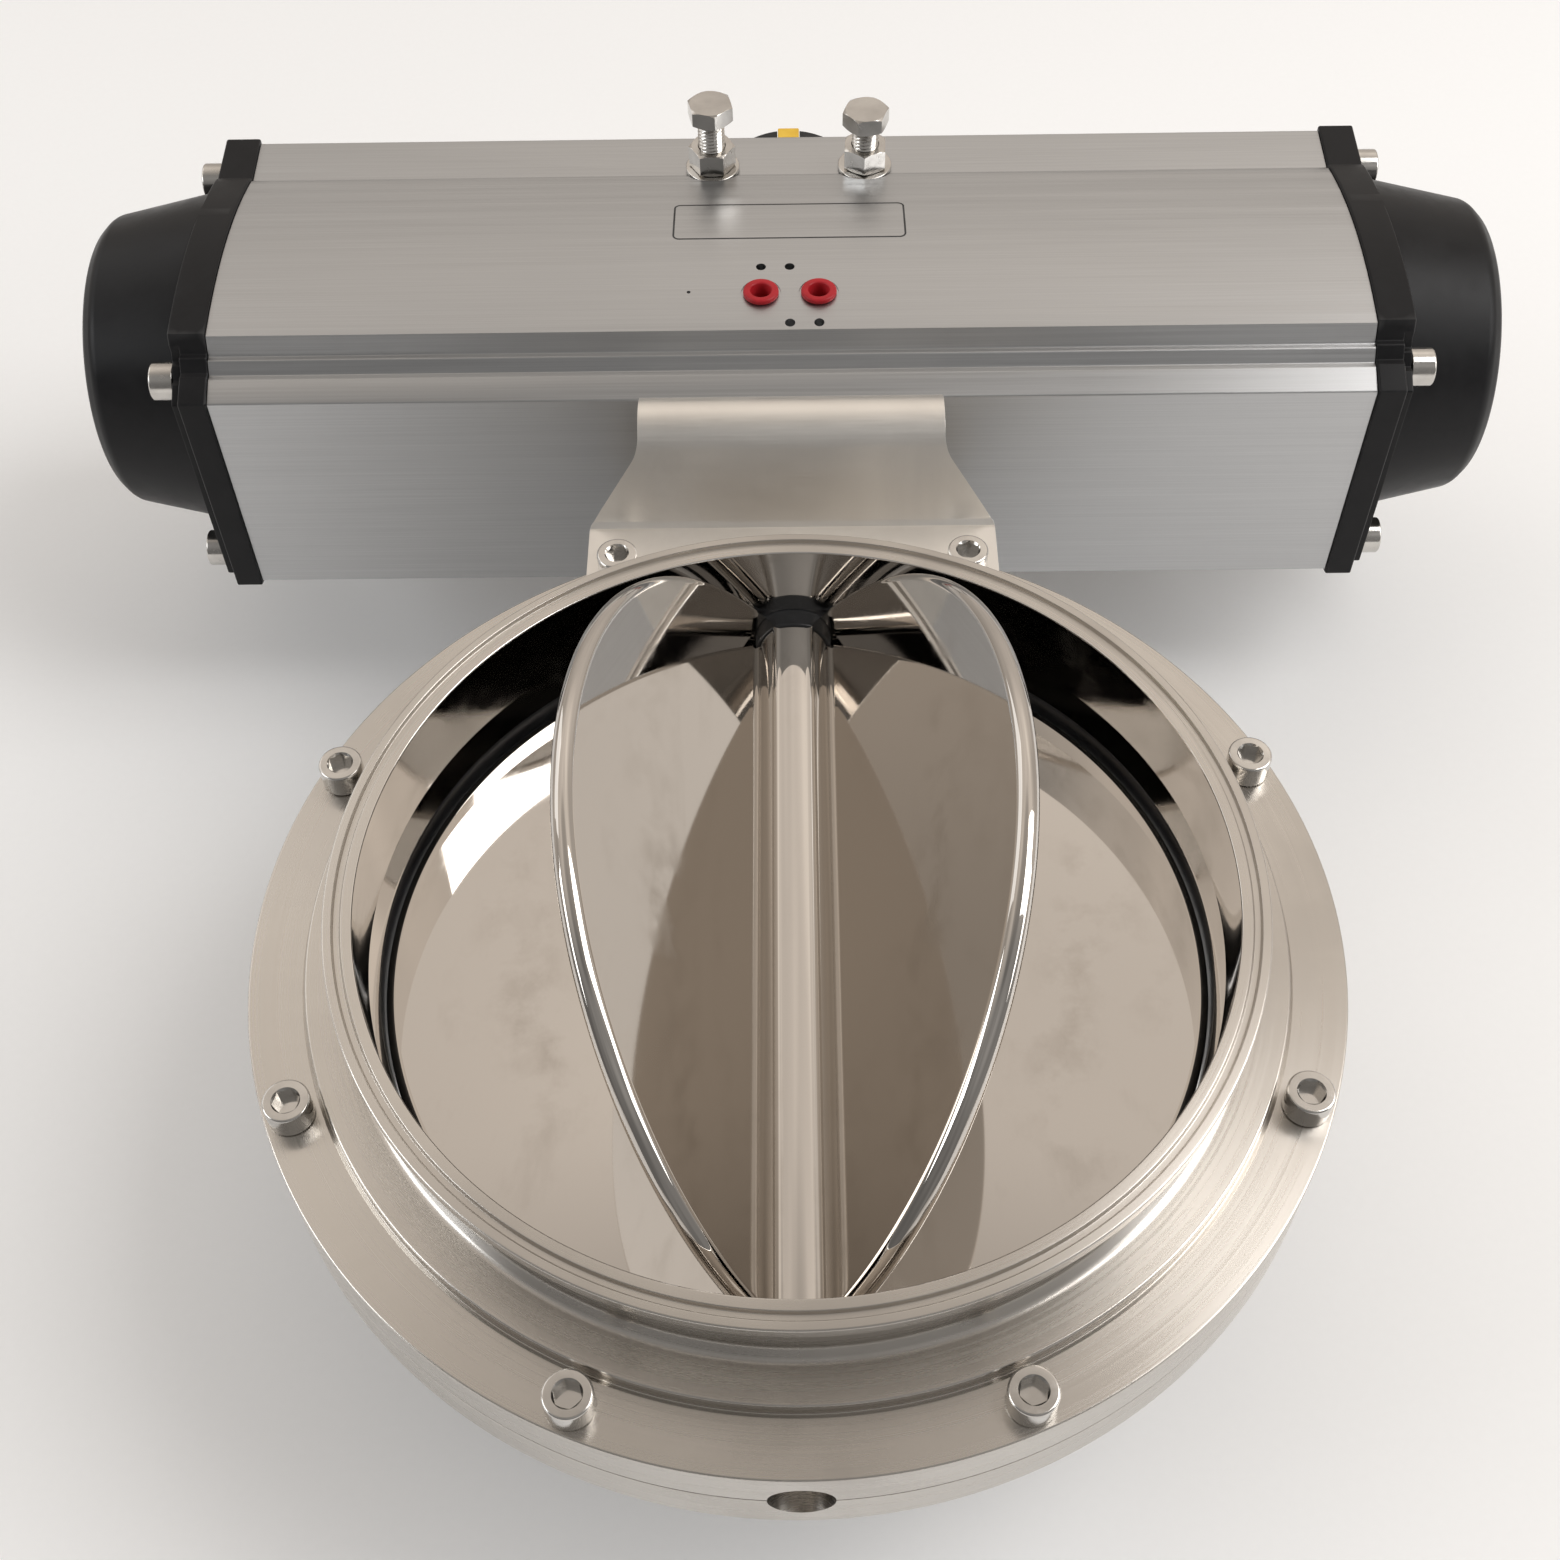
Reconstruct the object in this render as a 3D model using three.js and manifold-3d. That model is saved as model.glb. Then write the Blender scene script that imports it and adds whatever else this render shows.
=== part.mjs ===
// Clamp-ended rotary valve with a six-vane rotor and a half-turn rack-and-pinion air actuator.
// Millimetres. Origin: where the bore axis crosses the stem axis. +Z runs along the bore,
// +Y along the stem towards the actuator, X along the actuator.
import * as THREE from 'three';
import { mergeVertices } from 'three/addons/utils/BufferGeometryUtils.js';
import Module from 'manifold-3d';

const wasm = await Module();
wasm.setup();

// ---------------------------------------------------------------- driving dimensions
const GAP = 0.3;                 // between separate pieces that touch
const RING_SIDES = 48;           // facets round the large rings
const CYLINDER_SIDES = 36;       // facets round the actuator's cylinder and pistons
const ROUND_SIDES = 20;          // facets round shafts and bushes
const BOLT_SIDES = 12;           // facets round screws

const BORE_R = 149.35;           // 12-inch ferrule, inside
const LIP_R = 159.5;             // ferrule lip, outside
const LIP_Z = 54.5;
const NECK_R = 154;
const FLANGE_R = 191.5;
const FLANGE_Z = 19;             // half the thickness of the bolted flange
const BOSS_R = 171;
const BOSS_Z = 24.5;
const SEAT_R = 147.4;            // rubber seat, inside
const SEAT_OUTER_R = 159.7;
const SEAT_Z = 9.7;
const COLLAR_R = 22;             // rubber collar round each stem end
const BOLT_CIRCLE_R = 182;
const BOLT_COUNT = 8;

const VANE_COUNT = 6;
const VANE_R = 146.8;
const VANE_T = 8;
const HUB_R = 21;
const HUB_END = 145.2;
const UPPER_STEM_R = 12.5;
const LOWER_STEM_R = 10;
const STEM_TOP = 214;
const STEM_SQUARE = 16.6;

const M10 = { shank: 5, hole: 5.6, head: 8, height: 10, socket: 4.1 };

const SHEET = 6;                 // bracket plate
const TAB_TOP = FLANGE_Z + GAP + SHEET;
const TAB_HALF_WIDTH = 82.5;
const WEB_HALF_WIDTH = 61.5;
const FOLD_Y = 192.5;
const BEND_R = 16;
const BEND_Z = 47.5;

const HOUSING_BOTTOM = 237;
const HOUSING_TOP = 400;
const HOUSING_HALF = 240;
const CYLINDER_R = 62.5;
const CYLINDER_Y = 318.5;
const WEB_TOP = HOUSING_BOTTOM - GAP;
const CAP_PLATE = 15.5;
const CAP_STEP = 11.5;           // full width of the cap's foot, before it steps in
const CAP_INSET = 2.5;
const CAP_END = 305;
const DOME_Y = 326;
const DOME_R = 73.5;
const DOME_END_R = 64;
const F10 = 36.06;               // ISO 5211 F10 holes, along each axis

const MODULE = 3.5;
const TEETH = 16;
const PITCH_R = MODULE * TEETH / 2;
const PRESSURE = THREE.MathUtils.degToRad(20);
const BACKLASH = 0.3;
const FACE_WIDTH = 60;
const PISTON_FACE = 100;
const PISTON_T = 34;

const STOP_X = 34;
const STOP_Y = 377.5;
const STOP_FACE_Z = 62;
const CAM_BOTTOM = 367;
const CAM_TOP = 384;
const PORT_X = 12;
const PORT_Y = 278.6;
const PORT_FACE_Z = 72.8;

// ---------------------------------------------------------------- materials
function material(colour, roughness, metalness) {
  return new THREE.MeshStandardMaterial({ color: colour, roughness, metalness });
}
const POLISHED = material(0xc9c2b8, 0.08, 1);
const TURNED = material(0xc4bcb1, 0.22, 1);
const SHEET_STEEL = material(0xb9b3aa, 0.3, 1);
const FASTENER = material(0xc2bdb5, 0.25, 1);
const ANODISED = material(0xa9a5a1, 0.45, 0.9);
const BLACK_PAINT = material(0x2b2b2c, 0.45, 0.1);
const RUBBER = material(0x1c1e20, 0.7, 0);
const BLACK_PLASTIC = material(0x202021, 0.5, 0);
const YELLOW_PLASTIC = material(0xd9a92c, 0.5, 0);
const RED_PLASTIC = material(0xcf2f38, 0.4, 0);
const ALLOY = material(0xb5b5b2, 0.4, 1);
const BRONZE = material(0xb08a55, 0.4, 1);
const CARBON_STEEL = material(0x6f7072, 0.35, 1);

// ---------------------------------------------------------------- solids
const X = new THREE.Vector3(1, 0, 0);
const Y = new THREE.Vector3(0, 1, 0);
const Z = new THREE.Vector3(0, 0, 1);

function solid(geometry) {
  const bare = geometry.clone();
  bare.deleteAttribute('normal');
  bare.deleteAttribute('uv');
  const merged = mergeVertices(bare, 1e-4);
  const corners = Array.from(merged.index.array);
  const kept = [];
  for (let i = 0; i < corners.length; i += 3) {
    const [a, b, c] = corners.slice(i, i + 3);
    if (a !== b && b !== c && c !== a) kept.push(a, b, c);
  }
  const made = new wasm.Manifold(new wasm.Mesh({
    numProp: 3,
    vertProperties: new Float32Array(merged.attributes.position.array),
    triVerts: new Uint32Array(kept),
  }));
  return made;
}

function geometryOf(body) {
  const mesh = body.getMesh();
  const geometry = new THREE.BufferGeometry();
  geometry.setAttribute('position', new THREE.BufferAttribute(mesh.vertProperties, 3));
  geometry.setIndex(new THREE.BufferAttribute(mesh.triVerts, 1));
  geometry.computeVertexNormals();
  return geometry;
}

function unite(first, ...others) {
  return others.reduce((whole, part) => whole.add(part), first);
}

function cut(body, ...tools) {
  return tools.reduce((left, tool) => left.subtract(tool), body);
}

// Moves a geometry built along +Y so that it runs along the given axis.
function pointAlong(geometry, axis) {
  if (axis === X) geometry.rotateZ(-Math.PI / 2);
  if (axis === Z) geometry.rotateX(Math.PI / 2);
  return geometry;
}

// A round rod along an axis from low to high, its centre line at centre.
function rod(axis, radius, low, high, centre = new THREE.Vector3(), sides = ROUND_SIDES) {
  const geometry = new THREE.CylinderGeometry(radius, radius, high - low, sides);
  geometry.translate(0, (low + high) / 2, 0);
  pointAlong(geometry, axis);
  geometry.translate(centre.x, centre.y, centre.z);
  return solid(geometry);
}

function box(low, high) {
  const geometry = new THREE.BoxGeometry(high[0] - low[0], high[1] - low[1], high[2] - low[2]);
  geometry.translate((high[0] + low[0]) / 2, (high[1] + low[1]) / 2, (high[2] + low[2]) / 2);
  return solid(geometry);
}

function signedArea(outline) {
  let sum = 0;
  outline.forEach(([x, y], i) => {
    const [u, v] = outline[(i + 1) % outline.length];
    sum += x * v - u * y;
  });
  return sum / 2;
}

// Turns a closed [radius, height] outline about an axis. Outlines may touch the axis.
function turned(axis, outline, sides = ROUND_SIDES, centre = new THREE.Vector3()) {
  const points = outline.map(([radius, height]) => new THREE.Vector2(radius, height));
  if (signedArea(outline) < 0) points.reverse();
  points.push(points[0].clone());
  const geometry = new THREE.LatheGeometry(points, sides);
  pointAlong(geometry, axis);
  geometry.translate(centre.x, centre.y, centre.z);
  return solid(geometry);
}

// A flat ring with a rectangular section.
function ring(axis, inner, outer, low, high, sides = ROUND_SIDES, centre = new THREE.Vector3()) {
  return turned(axis, [[inner, low], [outer, low], [outer, high], [inner, high]], sides, centre);
}

// Extrudes an outline of [a, b] points. along X: a is y, b is z. along Y: a is z, b is x.
// along Z: a is x, b is y.
function extruded(axis, outline, low, high, bevel = 0) {
  const shape = new THREE.Shape(outline.map(([a, b]) => new THREE.Vector2(a, b)));
  const geometry = new THREE.ExtrudeGeometry(shape, {
    depth: high - low - 2 * bevel,
    bevelEnabled: bevel > 0,
    bevelThickness: bevel,
    bevelSize: bevel,
    bevelOffset: -bevel,
    bevelSegments: 1,
  });
  geometry.translate(0, 0, low + bevel);
  const turn = new THREE.Matrix4();
  if (axis === X) turn.makeBasis(Y, Z, X);
  if (axis === Y) turn.makeBasis(Z, X, Y);
  geometry.applyMatrix4(turn);
  return solid(geometry);
}

function polygon(radius, sides, turn = 0) {
  const points = [];
  for (let i = 0; i < sides; i++) {
    const angle = turn + i * 2 * Math.PI / sides;
    points.push([radius * Math.cos(angle), radius * Math.sin(angle)]);
  }
  return points;
}

function hexOutline(acrossFlats) {
  return polygon(acrossFlats / 2 / Math.cos(Math.PI / 6), 6);
}

const valve = new THREE.Group();

function place(name, body, look, parent = valve) {
  const mesh = new THREE.Mesh(geometryOf(body), look);
  mesh.name = name;
  parent.add(mesh);
  return mesh;
}

// ---------------------------------------------------------------- valve body
function boltAngle(index) {
  return (index + 0.5) * 2 * Math.PI / BOLT_COUNT;
}

function boltCentre(index) {
  const angle = boltAngle(index);
  return new THREE.Vector3(BOLT_CIRCLE_R * Math.sin(angle), BOLT_CIRCLE_R * Math.cos(angle), 0);
}

// One half of the split body: bolted flange, raised boss, neck and clamp ferrule.
function bodyHalf() {
  const outline = [
    [147.7, SEAT_Z + GAP], [SEAT_OUTER_R + GAP, SEAT_Z + GAP], [SEAT_OUTER_R + GAP, GAP / 2],
    [FLANGE_R, GAP / 2], [FLANGE_R, FLANGE_Z], [BOSS_R + 1.6, FLANGE_Z],
    [BOSS_R, FLANGE_Z - 0.8], [BOSS_R, BOSS_Z], [NECK_R + 3.2, BOSS_Z], [NECK_R, BOSS_Z + 3.4],
    [NECK_R, LIP_Z - 8.2], [LIP_R, LIP_Z - 4.6], [LIP_R, LIP_Z],
    [156.3, LIP_Z], [155.7, LIP_Z - 1.5], [153.8, LIP_Z - 1.5], [153.2, LIP_Z],
    [BORE_R, LIP_Z], [BORE_R, 22],
  ];
  const holes = [];
  for (let i = 0; i < BOLT_COUNT; i++) {
    holes.push(rod(Z, M10.hole, -1, FLANGE_Z + 1, boltCentre(i), BOLT_SIDES));
  }
  return cut(
    turned(Z, outline, RING_SIDES),
    ...holes,
    rod(Y, COLLAR_R + GAP, 140, SEAT_OUTER_R + GAP),
    rod(Y, COLLAR_R + GAP, -SEAT_OUTER_R - GAP, -140),
    rod(Y, 14.5, 150, FLANGE_R + 1),
    rod(Y, LOWER_STEM_R + 2.6, -181, -150),
    rod(Y, LOWER_STEM_R + 0.6, -FLANGE_R - 1, -150),
  );
}

function seatRing() {
  const band = turned(Z, [
    [SEAT_R, -SEAT_Z], [SEAT_OUTER_R, -SEAT_Z], [SEAT_OUTER_R, SEAT_Z], [SEAT_R, SEAT_Z],
  ], RING_SIDES);
  const collars = unite(
    rod(Y, COLLAR_R, 141, SEAT_OUTER_R),
    rod(Y, COLLAR_R, -SEAT_OUTER_R, -141),
  );
  return cut(
    unite(band, collars),
    rod(Z, SEAT_R, -40, 40, new THREE.Vector3(), RING_SIDES),
    rod(Y, UPPER_STEM_R + 0.6, 100, 170),
    rod(Y, LOWER_STEM_R + 0.6, -170, -100),
  );
}

// A socket-head cap screw along +Z with the underside of its head at z = 0.
function capScrew(length) {
  const shape = turned(Z, [
    [0, -length], [M10.shank, -length], [M10.shank, 0],
    [M10.head, 0], [M10.head, M10.height], [0, M10.height],
  ], BOLT_SIDES);
  return cut(shape, extruded(Z, polygon(M10.socket * 1.1547, 6), 5, M10.height + 1));
}

function hexNut(acrossFlats, hole, height) {
  return cut(extruded(Z, hexOutline(acrossFlats), 0, height), rod(Z, hole, -1, height + 1));
}

function buildBody() {
  place('upper_body', bodyHalf(), TURNED);
  place('lower_body', bodyHalf(), TURNED).rotation.y = Math.PI;
  place('seat_ring', seatRing(), RUBBER);
  for (let i = 0; i < BOLT_COUNT; i++) {
    const holdsBracket = i === 0 || i === BOLT_COUNT - 1;
    const seatZ = holdsBracket ? TAB_TOP + GAP : FLANGE_Z + GAP;
    const length = holdsBracket ? seatZ + TAB_TOP + 9 : seatZ + FLANGE_Z - 2;
    const bolt = place(`body_bolt_${i + 1}`, capScrew(length), FASTENER);
    bolt.position.copy(boltCentre(i)).setZ(seatZ);
  }
  [0, BOLT_COUNT - 1].forEach((i, n) => {
    const nut = place(`bracket_nut_${n + 1}`, hexNut(16, M10.hole, 8), FASTENER);
    nut.position.copy(boltCentre(i)).setZ(-TAB_TOP - GAP - 8);
  });
}

// ---------------------------------------------------------------- rotor
function rotorHub() {
  const round = turned(Y, [
    [0, -183], [LOWER_STEM_R - 1, -183], [LOWER_STEM_R, -182], [LOWER_STEM_R, -HUB_END],
    [HUB_R, -HUB_END], [HUB_R, HUB_END], [UPPER_STEM_R, HUB_END], [UPPER_STEM_R, 196], [0, 196],
  ]);
  const half = STEM_SQUARE / 2;
  return unite(round, box([-half, 190, -half], [half, STEM_TOP, half]));
}

// A half-disc plate from the hub to the rim, in the plane of X and Y.
function vane() {
  const inner = HUB_R + GAP;
  const halfChord = Math.acos(inner / VANE_R);
  const steps = 28;
  const outline = [];
  for (let i = 0; i <= steps; i++) {
    const angle = -halfChord + 2 * halfChord * i / steps;
    outline.push([VANE_R * Math.cos(angle), VANE_R * Math.sin(angle)]);
  }
  return extruded(Z, outline, -VANE_T / 2, VANE_T / 2, 1.5);
}

function buildRotor() {
  place('rotor_hub', rotorHub(), POLISHED);
  for (let i = 0; i < VANE_COUNT; i++) {
    place(`vane_${i + 1}`, vane(), POLISHED).rotation.y = i * 2 * Math.PI / VANE_COUNT;
  }
  place('upper_stem_bush', ring(Y, UPPER_STEM_R + 0.5, 14.1, 178, 190.5), BRONZE);
  place('lower_stem_bush', ring(Y, LOWER_STEM_R + 0.5, LOWER_STEM_R + 2.2, -180, -162), BRONZE);
  place('upper_stem_oring', ring(Y, UPPER_STEM_R + 0.5, 14.1, 166, 169.5), RUBBER);
  const half = STEM_SQUARE / 2 + GAP;
  const spigot = 11;
  const sleeve = unite(
    rod(Y, 20, 198, 229),
    box([-spigot, 228, -spigot], [spigot, 262, spigot]),
  );
  place('coupling', cut(sleeve, box([-half, 190, -half], [half, STEM_TOP + 2, half])), FASTENER);
}

// ---------------------------------------------------------------- bracket
// Half of the bent section from the tab tip to the middle of the web, offset inwards.
function sectionHalf(inset) {
  const centreY = WEB_TOP - BEND_R;
  const reach = [FOLD_Y - centreY, TAB_TOP - BEND_Z];
  const distance = Math.hypot(...reach);
  const base = Math.atan2(-reach[1], -reach[0]);
  const slope = base + Math.asin(BEND_R / distance);
  const radius = BEND_R - inset;
  const points = [[149, TAB_TOP - inset]];
  const tangent = [centreY - radius * Math.sin(slope), BEND_Z + radius * Math.cos(slope)];
  const drop = tangent[1] - (TAB_TOP - inset);
  points.push([tangent[0] - drop / Math.tan(slope), TAB_TOP - inset]);
  const steps = 6;
  const start = Math.PI / 2 + slope;
  for (let i = 0; i <= steps; i++) {
    const angle = start - start * i / steps;
    points.push([centreY + radius * Math.cos(angle), BEND_Z + radius * Math.sin(angle)]);
  }
  return points;
}

function bracketPlate() {
  const mirrored = (points) => points.map(([y, z]) => [y, -z]).reverse();
  const outer = sectionHalf(0);
  const inner = sectionHalf(SHEET);
  const section = [...outer, ...mirrored(outer), ...mirrored(inner).reverse(), ...inner.reverse()];
  const folded = extruded(X, section, -TAB_HALF_WIDTH, TAB_HALF_WIDTH);
  const plan = extruded(Z, [
    [-TAB_HALF_WIDTH, 140], [TAB_HALF_WIDTH, 140], [TAB_HALF_WIDTH, FOLD_Y],
    [WEB_HALF_WIDTH, 206], [WEB_HALF_WIDTH, 245], [-WEB_HALF_WIDTH, 245],
    [-WEB_HALF_WIDTH, 206], [-TAB_HALF_WIDTH, FOLD_Y],
  ], -80, 80);
  const holes = [];
  for (const i of [0, BOLT_COUNT - 1]) {
    holes.push(rod(Z, M10.hole, -40, 40, boltCentre(i), BOLT_SIDES));
  }
  for (const corner of polygon(F10 * Math.SQRT2, 4, Math.PI / 4)) {
    const centre = new THREE.Vector3(corner[0], 0, corner[1]);
    holes.push(rod(Y, M10.hole, 220, 240, centre, BOLT_SIDES));
  }
  return cut(
    folded.intersect(plan),
    rod(Z, BOSS_R + 1.3, -40, 40, new THREE.Vector3(), RING_SIDES),
    rod(Y, 27, 220, 240),
    ...holes,
  );
}

function buildBracket() {
  place('bracket', bracketPlate(), SHEET_STEEL);
  polygon(F10 * Math.SQRT2, 4, Math.PI / 4).forEach(([x, z], i) => {
    const bolt = place(`actuator_bolt_${i + 1}`, capScrew(24), FASTENER);
    bolt.rotation.x = Math.PI / 2;
    bolt.position.set(x, WEB_TOP - SHEET - GAP, z);
  });
}

// ---------------------------------------------------------------- actuator
// Half of the extrusion's section: a bowed side between a stepped foot and a flat top band.
function housingSide(grow = 0) {
  const bow = (y) => 74 - 0.0021 * (y - 300) ** 2;
  const points = [[HOUSING_BOTTOM - grow, 53], [247, 57.5], [249.5, 57.5], [253, 62.5], [255.5, 62.5]];
  for (let y = 259; y <= 371; y += 16) {
    points.push([y, bow(y)]);
  }
  points.push([373.5, 61.6], [HOUSING_TOP + grow, 63]);
  return points.map(([y, z]) => [y, z + grow]);
}

function housingSection(grow = 0) {
  const side = housingSide(grow);
  return [...side, ...side.map(([y, z]) => [y, -z]).reverse()];
}

function capBoltCentres() {
  return [[388, 51], [388, -51], [255, 50], [255, -50]];
}

function housing() {
  const tools = [
    rod(X, CYLINDER_R, -HOUSING_HALF - 1, HOUSING_HALF + 1,
      new THREE.Vector3(0, CYLINDER_Y, 0), CYLINDER_SIDES),
    rod(Y, 28, HOUSING_BOTTOM - 1, 300),
    rod(Y, 21, 350, HOUSING_TOP + 1),
    rod(Y, 42.5, CAM_BOTTOM - 4, CAM_TOP + 1.5),
  ];
  for (const [y, z] of capBoltCentres()) {
    const centre = new THREE.Vector3(0, y, z);
    tools.push(rod(X, M10.hole, HOUSING_HALF - 30, HOUSING_HALF + 1, centre, BOLT_SIDES));
    tools.push(rod(X, M10.hole, -HOUSING_HALF - 1, -HOUSING_HALF + 30, centre, BOLT_SIDES));
  }
  for (const side of [-1, 1]) {
    const stop = new THREE.Vector3(side * STOP_X, STOP_Y, 0);
    tools.push(rod(Z, 6.5, 5, 80, stop, BOLT_SIDES));
    tools.push(rod(Z, 13, STOP_FACE_Z, 80, stop));
    const port = new THREE.Vector3(side * PORT_X, PORT_Y, 0);
    tools.push(rod(Z, 8.4, PORT_FACE_Z, 80, port));
    tools.push(rod(Z, 6, 50, 80, port, BOLT_SIDES));
  }
  for (const [x, y] of [[-12, 16], [0, 16], [0, -16], [12, -16]]) {
    tools.push(rod(Z, 2.1, 64, 80, new THREE.Vector3(x, PORT_Y + y, 0), 8));
  }
  for (const corner of polygon(F10 * Math.SQRT2, 4, Math.PI / 4)) {
    const centre = new THREE.Vector3(corner[0], 0, corner[1]);
    tools.push(rod(Y, M10.hole, HOUSING_BOTTOM - 1, 257, centre, BOLT_SIDES));
  }
  return cut(extruded(X, housingSection(), -HOUSING_HALF, HOUSING_HALF), ...tools);
}

// The +X end cap: a plate over the extrusion, stepped in along its foot, and a hollow tapered dome
// with a pocket beside each screw head it would touch.
function endCap() {
  const start = HOUSING_HALF + GAP;
  const face = start + CAP_PLATE;
  const step = cut(
    extruded(X, housingSection(1.5), start + CAP_STEP - 1, face),
    box([0, HOUSING_BOTTOM - 5, -80], [face + 1, 257, 80]),
  );
  const plate = unite(
    extruded(X, housingSection(1.5), start, start + CAP_STEP),
    step,
    extruded(X, housingSection(-CAP_INSET), start + 1, face),
  );
  const centre = new THREE.Vector3(0, DOME_Y, 0);
  const dome = turned(X, [
    [0, start + 2], [DOME_R, start + 2], [DOME_R, face], [DOME_END_R, CAP_END - 6],
    [DOME_END_R - 6, CAP_END], [0, CAP_END],
  ], CYLINDER_SIDES, centre);
  const hollow = turned(X, [
    [0, start - 1], [54, start - 1], [50, CAP_END - 12], [0, CAP_END - 12],
  ], ROUND_SIDES, centre);
  const tools = [hollow];
  for (const [y, z] of capBoltCentres()) {
    const bolt = new THREE.Vector3(0, y, z);
    tools.push(rod(X, M10.hole, start - 1, face + 1, bolt, BOLT_SIDES));
    tools.push(rod(X, M10.head + 1.2, face, CAP_END, bolt));
  }
  return cut(unite(plate, dome), ...tools);
}

function rackOutline() {
  const pitch = Math.PI * MODULE;
  const half = pitch / 4 - BACKLASH / 4;
  const tip = 0.9 * MODULE;
  const root = 1.25 * MODULE;
  const back = 48;
  const left = -96;
  const right = PISTON_FACE + 6;
  const points = [[back, left], [back, right], [PITCH_R + root, right]];
  for (let k = 7; k >= -8; k--) {
    const centre = (k + 0.5) * pitch;
    points.push([PITCH_R + root, centre + half + root * Math.tan(PRESSURE)]);
    points.push([PITCH_R - tip, centre + half - tip * Math.tan(PRESSURE)]);
    points.push([PITCH_R - tip, centre - half + tip * Math.tan(PRESSURE)]);
    points.push([PITCH_R + root, centre - half - root * Math.tan(PRESSURE)]);
  }
  points.push([PITCH_R + root, left]);
  return points.reverse();
}

// The +X piston: a head in the cylinder and a toothed arm at +Z that reaches past the pinion.
function piston() {
  const centre = new THREE.Vector3(0, CYLINDER_Y, 0);
  const head = turned(X, [
    [0, PISTON_FACE], [61.6, PISTON_FACE], [61.6, 121.7], [57.6, 121.7], [57.6, 127.3],
    [61.6, 127.3], [61.6, PISTON_FACE + PISTON_T], [0, PISTON_FACE + PISTON_T],
  ], CYLINDER_SIDES, centre);
  const low = CYLINDER_Y - FACE_WIDTH / 2;
  return unite(head, extruded(Y, rackOutline(), low, low + FACE_WIDTH));
}

function involute(angle) {
  return Math.tan(angle) - angle;
}

// Tooth outline in [z, x] order, with one tooth pointing along +Z.
function pinionOutline() {
  const base = PITCH_R * Math.cos(PRESSURE);
  const root = PITCH_R - 1.25 * MODULE;
  const tip = PITCH_R + MODULE;
  const pitchHalf = Math.PI / (2 * TEETH) - BACKLASH / (4 * PITCH_R);
  const half = (r) => pitchHalf + involute(PRESSURE) - involute(Math.acos(Math.min(1, base / r)));
  const flank = [[root, half(base)], [base, half(base)], [PITCH_R, half(PITCH_R)], [tip, half(tip)]];
  const points = [];
  for (let k = 0; k < TEETH; k++) {
    const middle = k * 2 * Math.PI / TEETH;
    for (const [r, a] of flank) {
      points.push([r * Math.cos(middle - a), r * Math.sin(middle - a)]);
    }
    for (const [r, a] of [...flank].reverse()) {
      points.push([r * Math.cos(middle + a), r * Math.sin(middle + a)]);
    }
  }
  return points;
}

function pinion() {
  const low = CYLINDER_Y - FACE_WIDTH / 2;
  const shaft = turned(Y, [
    [0, 238], [24, 238], [24, 260], [22, 262], [22, 352], [17, 354], [17, 401],
    [15, 401], [15, 403.4], [17, 403.4], [17, 411], [0, 411],
  ]);
  const socket = 11 + GAP;
  return cut(
    unite(shaft, extruded(Y, pinionOutline(), low, low + FACE_WIDTH)),
    box([-socket, 230, -socket], [socket, 265, socket]),
  );
}

// The lobe points along +X at rest, its flank against the +X stop screw.
function stopCam() {
  const lobe = box([0, CAM_BOTTOM, -9], [40, CAM_TOP, 9]);
  return cut(
    unite(rod(Y, 25, CAM_BOTTOM, CAM_TOP), lobe),
    rod(Y, 17.6, CAM_BOTTOM - 1, CAM_TOP + 1),
  );
}

function indicatorCup() {
  const outer = turned(Y, [
    [0, 406], [38, 406], [38, 438.8], [37, 440], [0, 440],
  ], ROUND_SIDES);
  const slot = box([-5.3, 433, -40], [5.3, 445, 40]);
  return cut(outer, rod(Y, 22, 405, 414), slot);
}

function stopBolt(headZ) {
  const top = headZ + 0.5;
  const shank = turned(Z, [[0, 9.5], [5, 9.5], [6, 11], [6, top], [0, top]], BOLT_SIDES);
  return unite(shank, extruded(Z, hexOutline(18), headZ, headZ + 7.5, 0.6));
}

function portPlug() {
  return turned(Z, [
    [4.1, 58], [5.5, 58], [5.5, PORT_FACE_Z + GAP], [7.4, PORT_FACE_Z + GAP],
    [7.4, PORT_FACE_Z + 2.4], [4.1, PORT_FACE_Z + 2.4],
  ], BOLT_SIDES);
}

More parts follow.
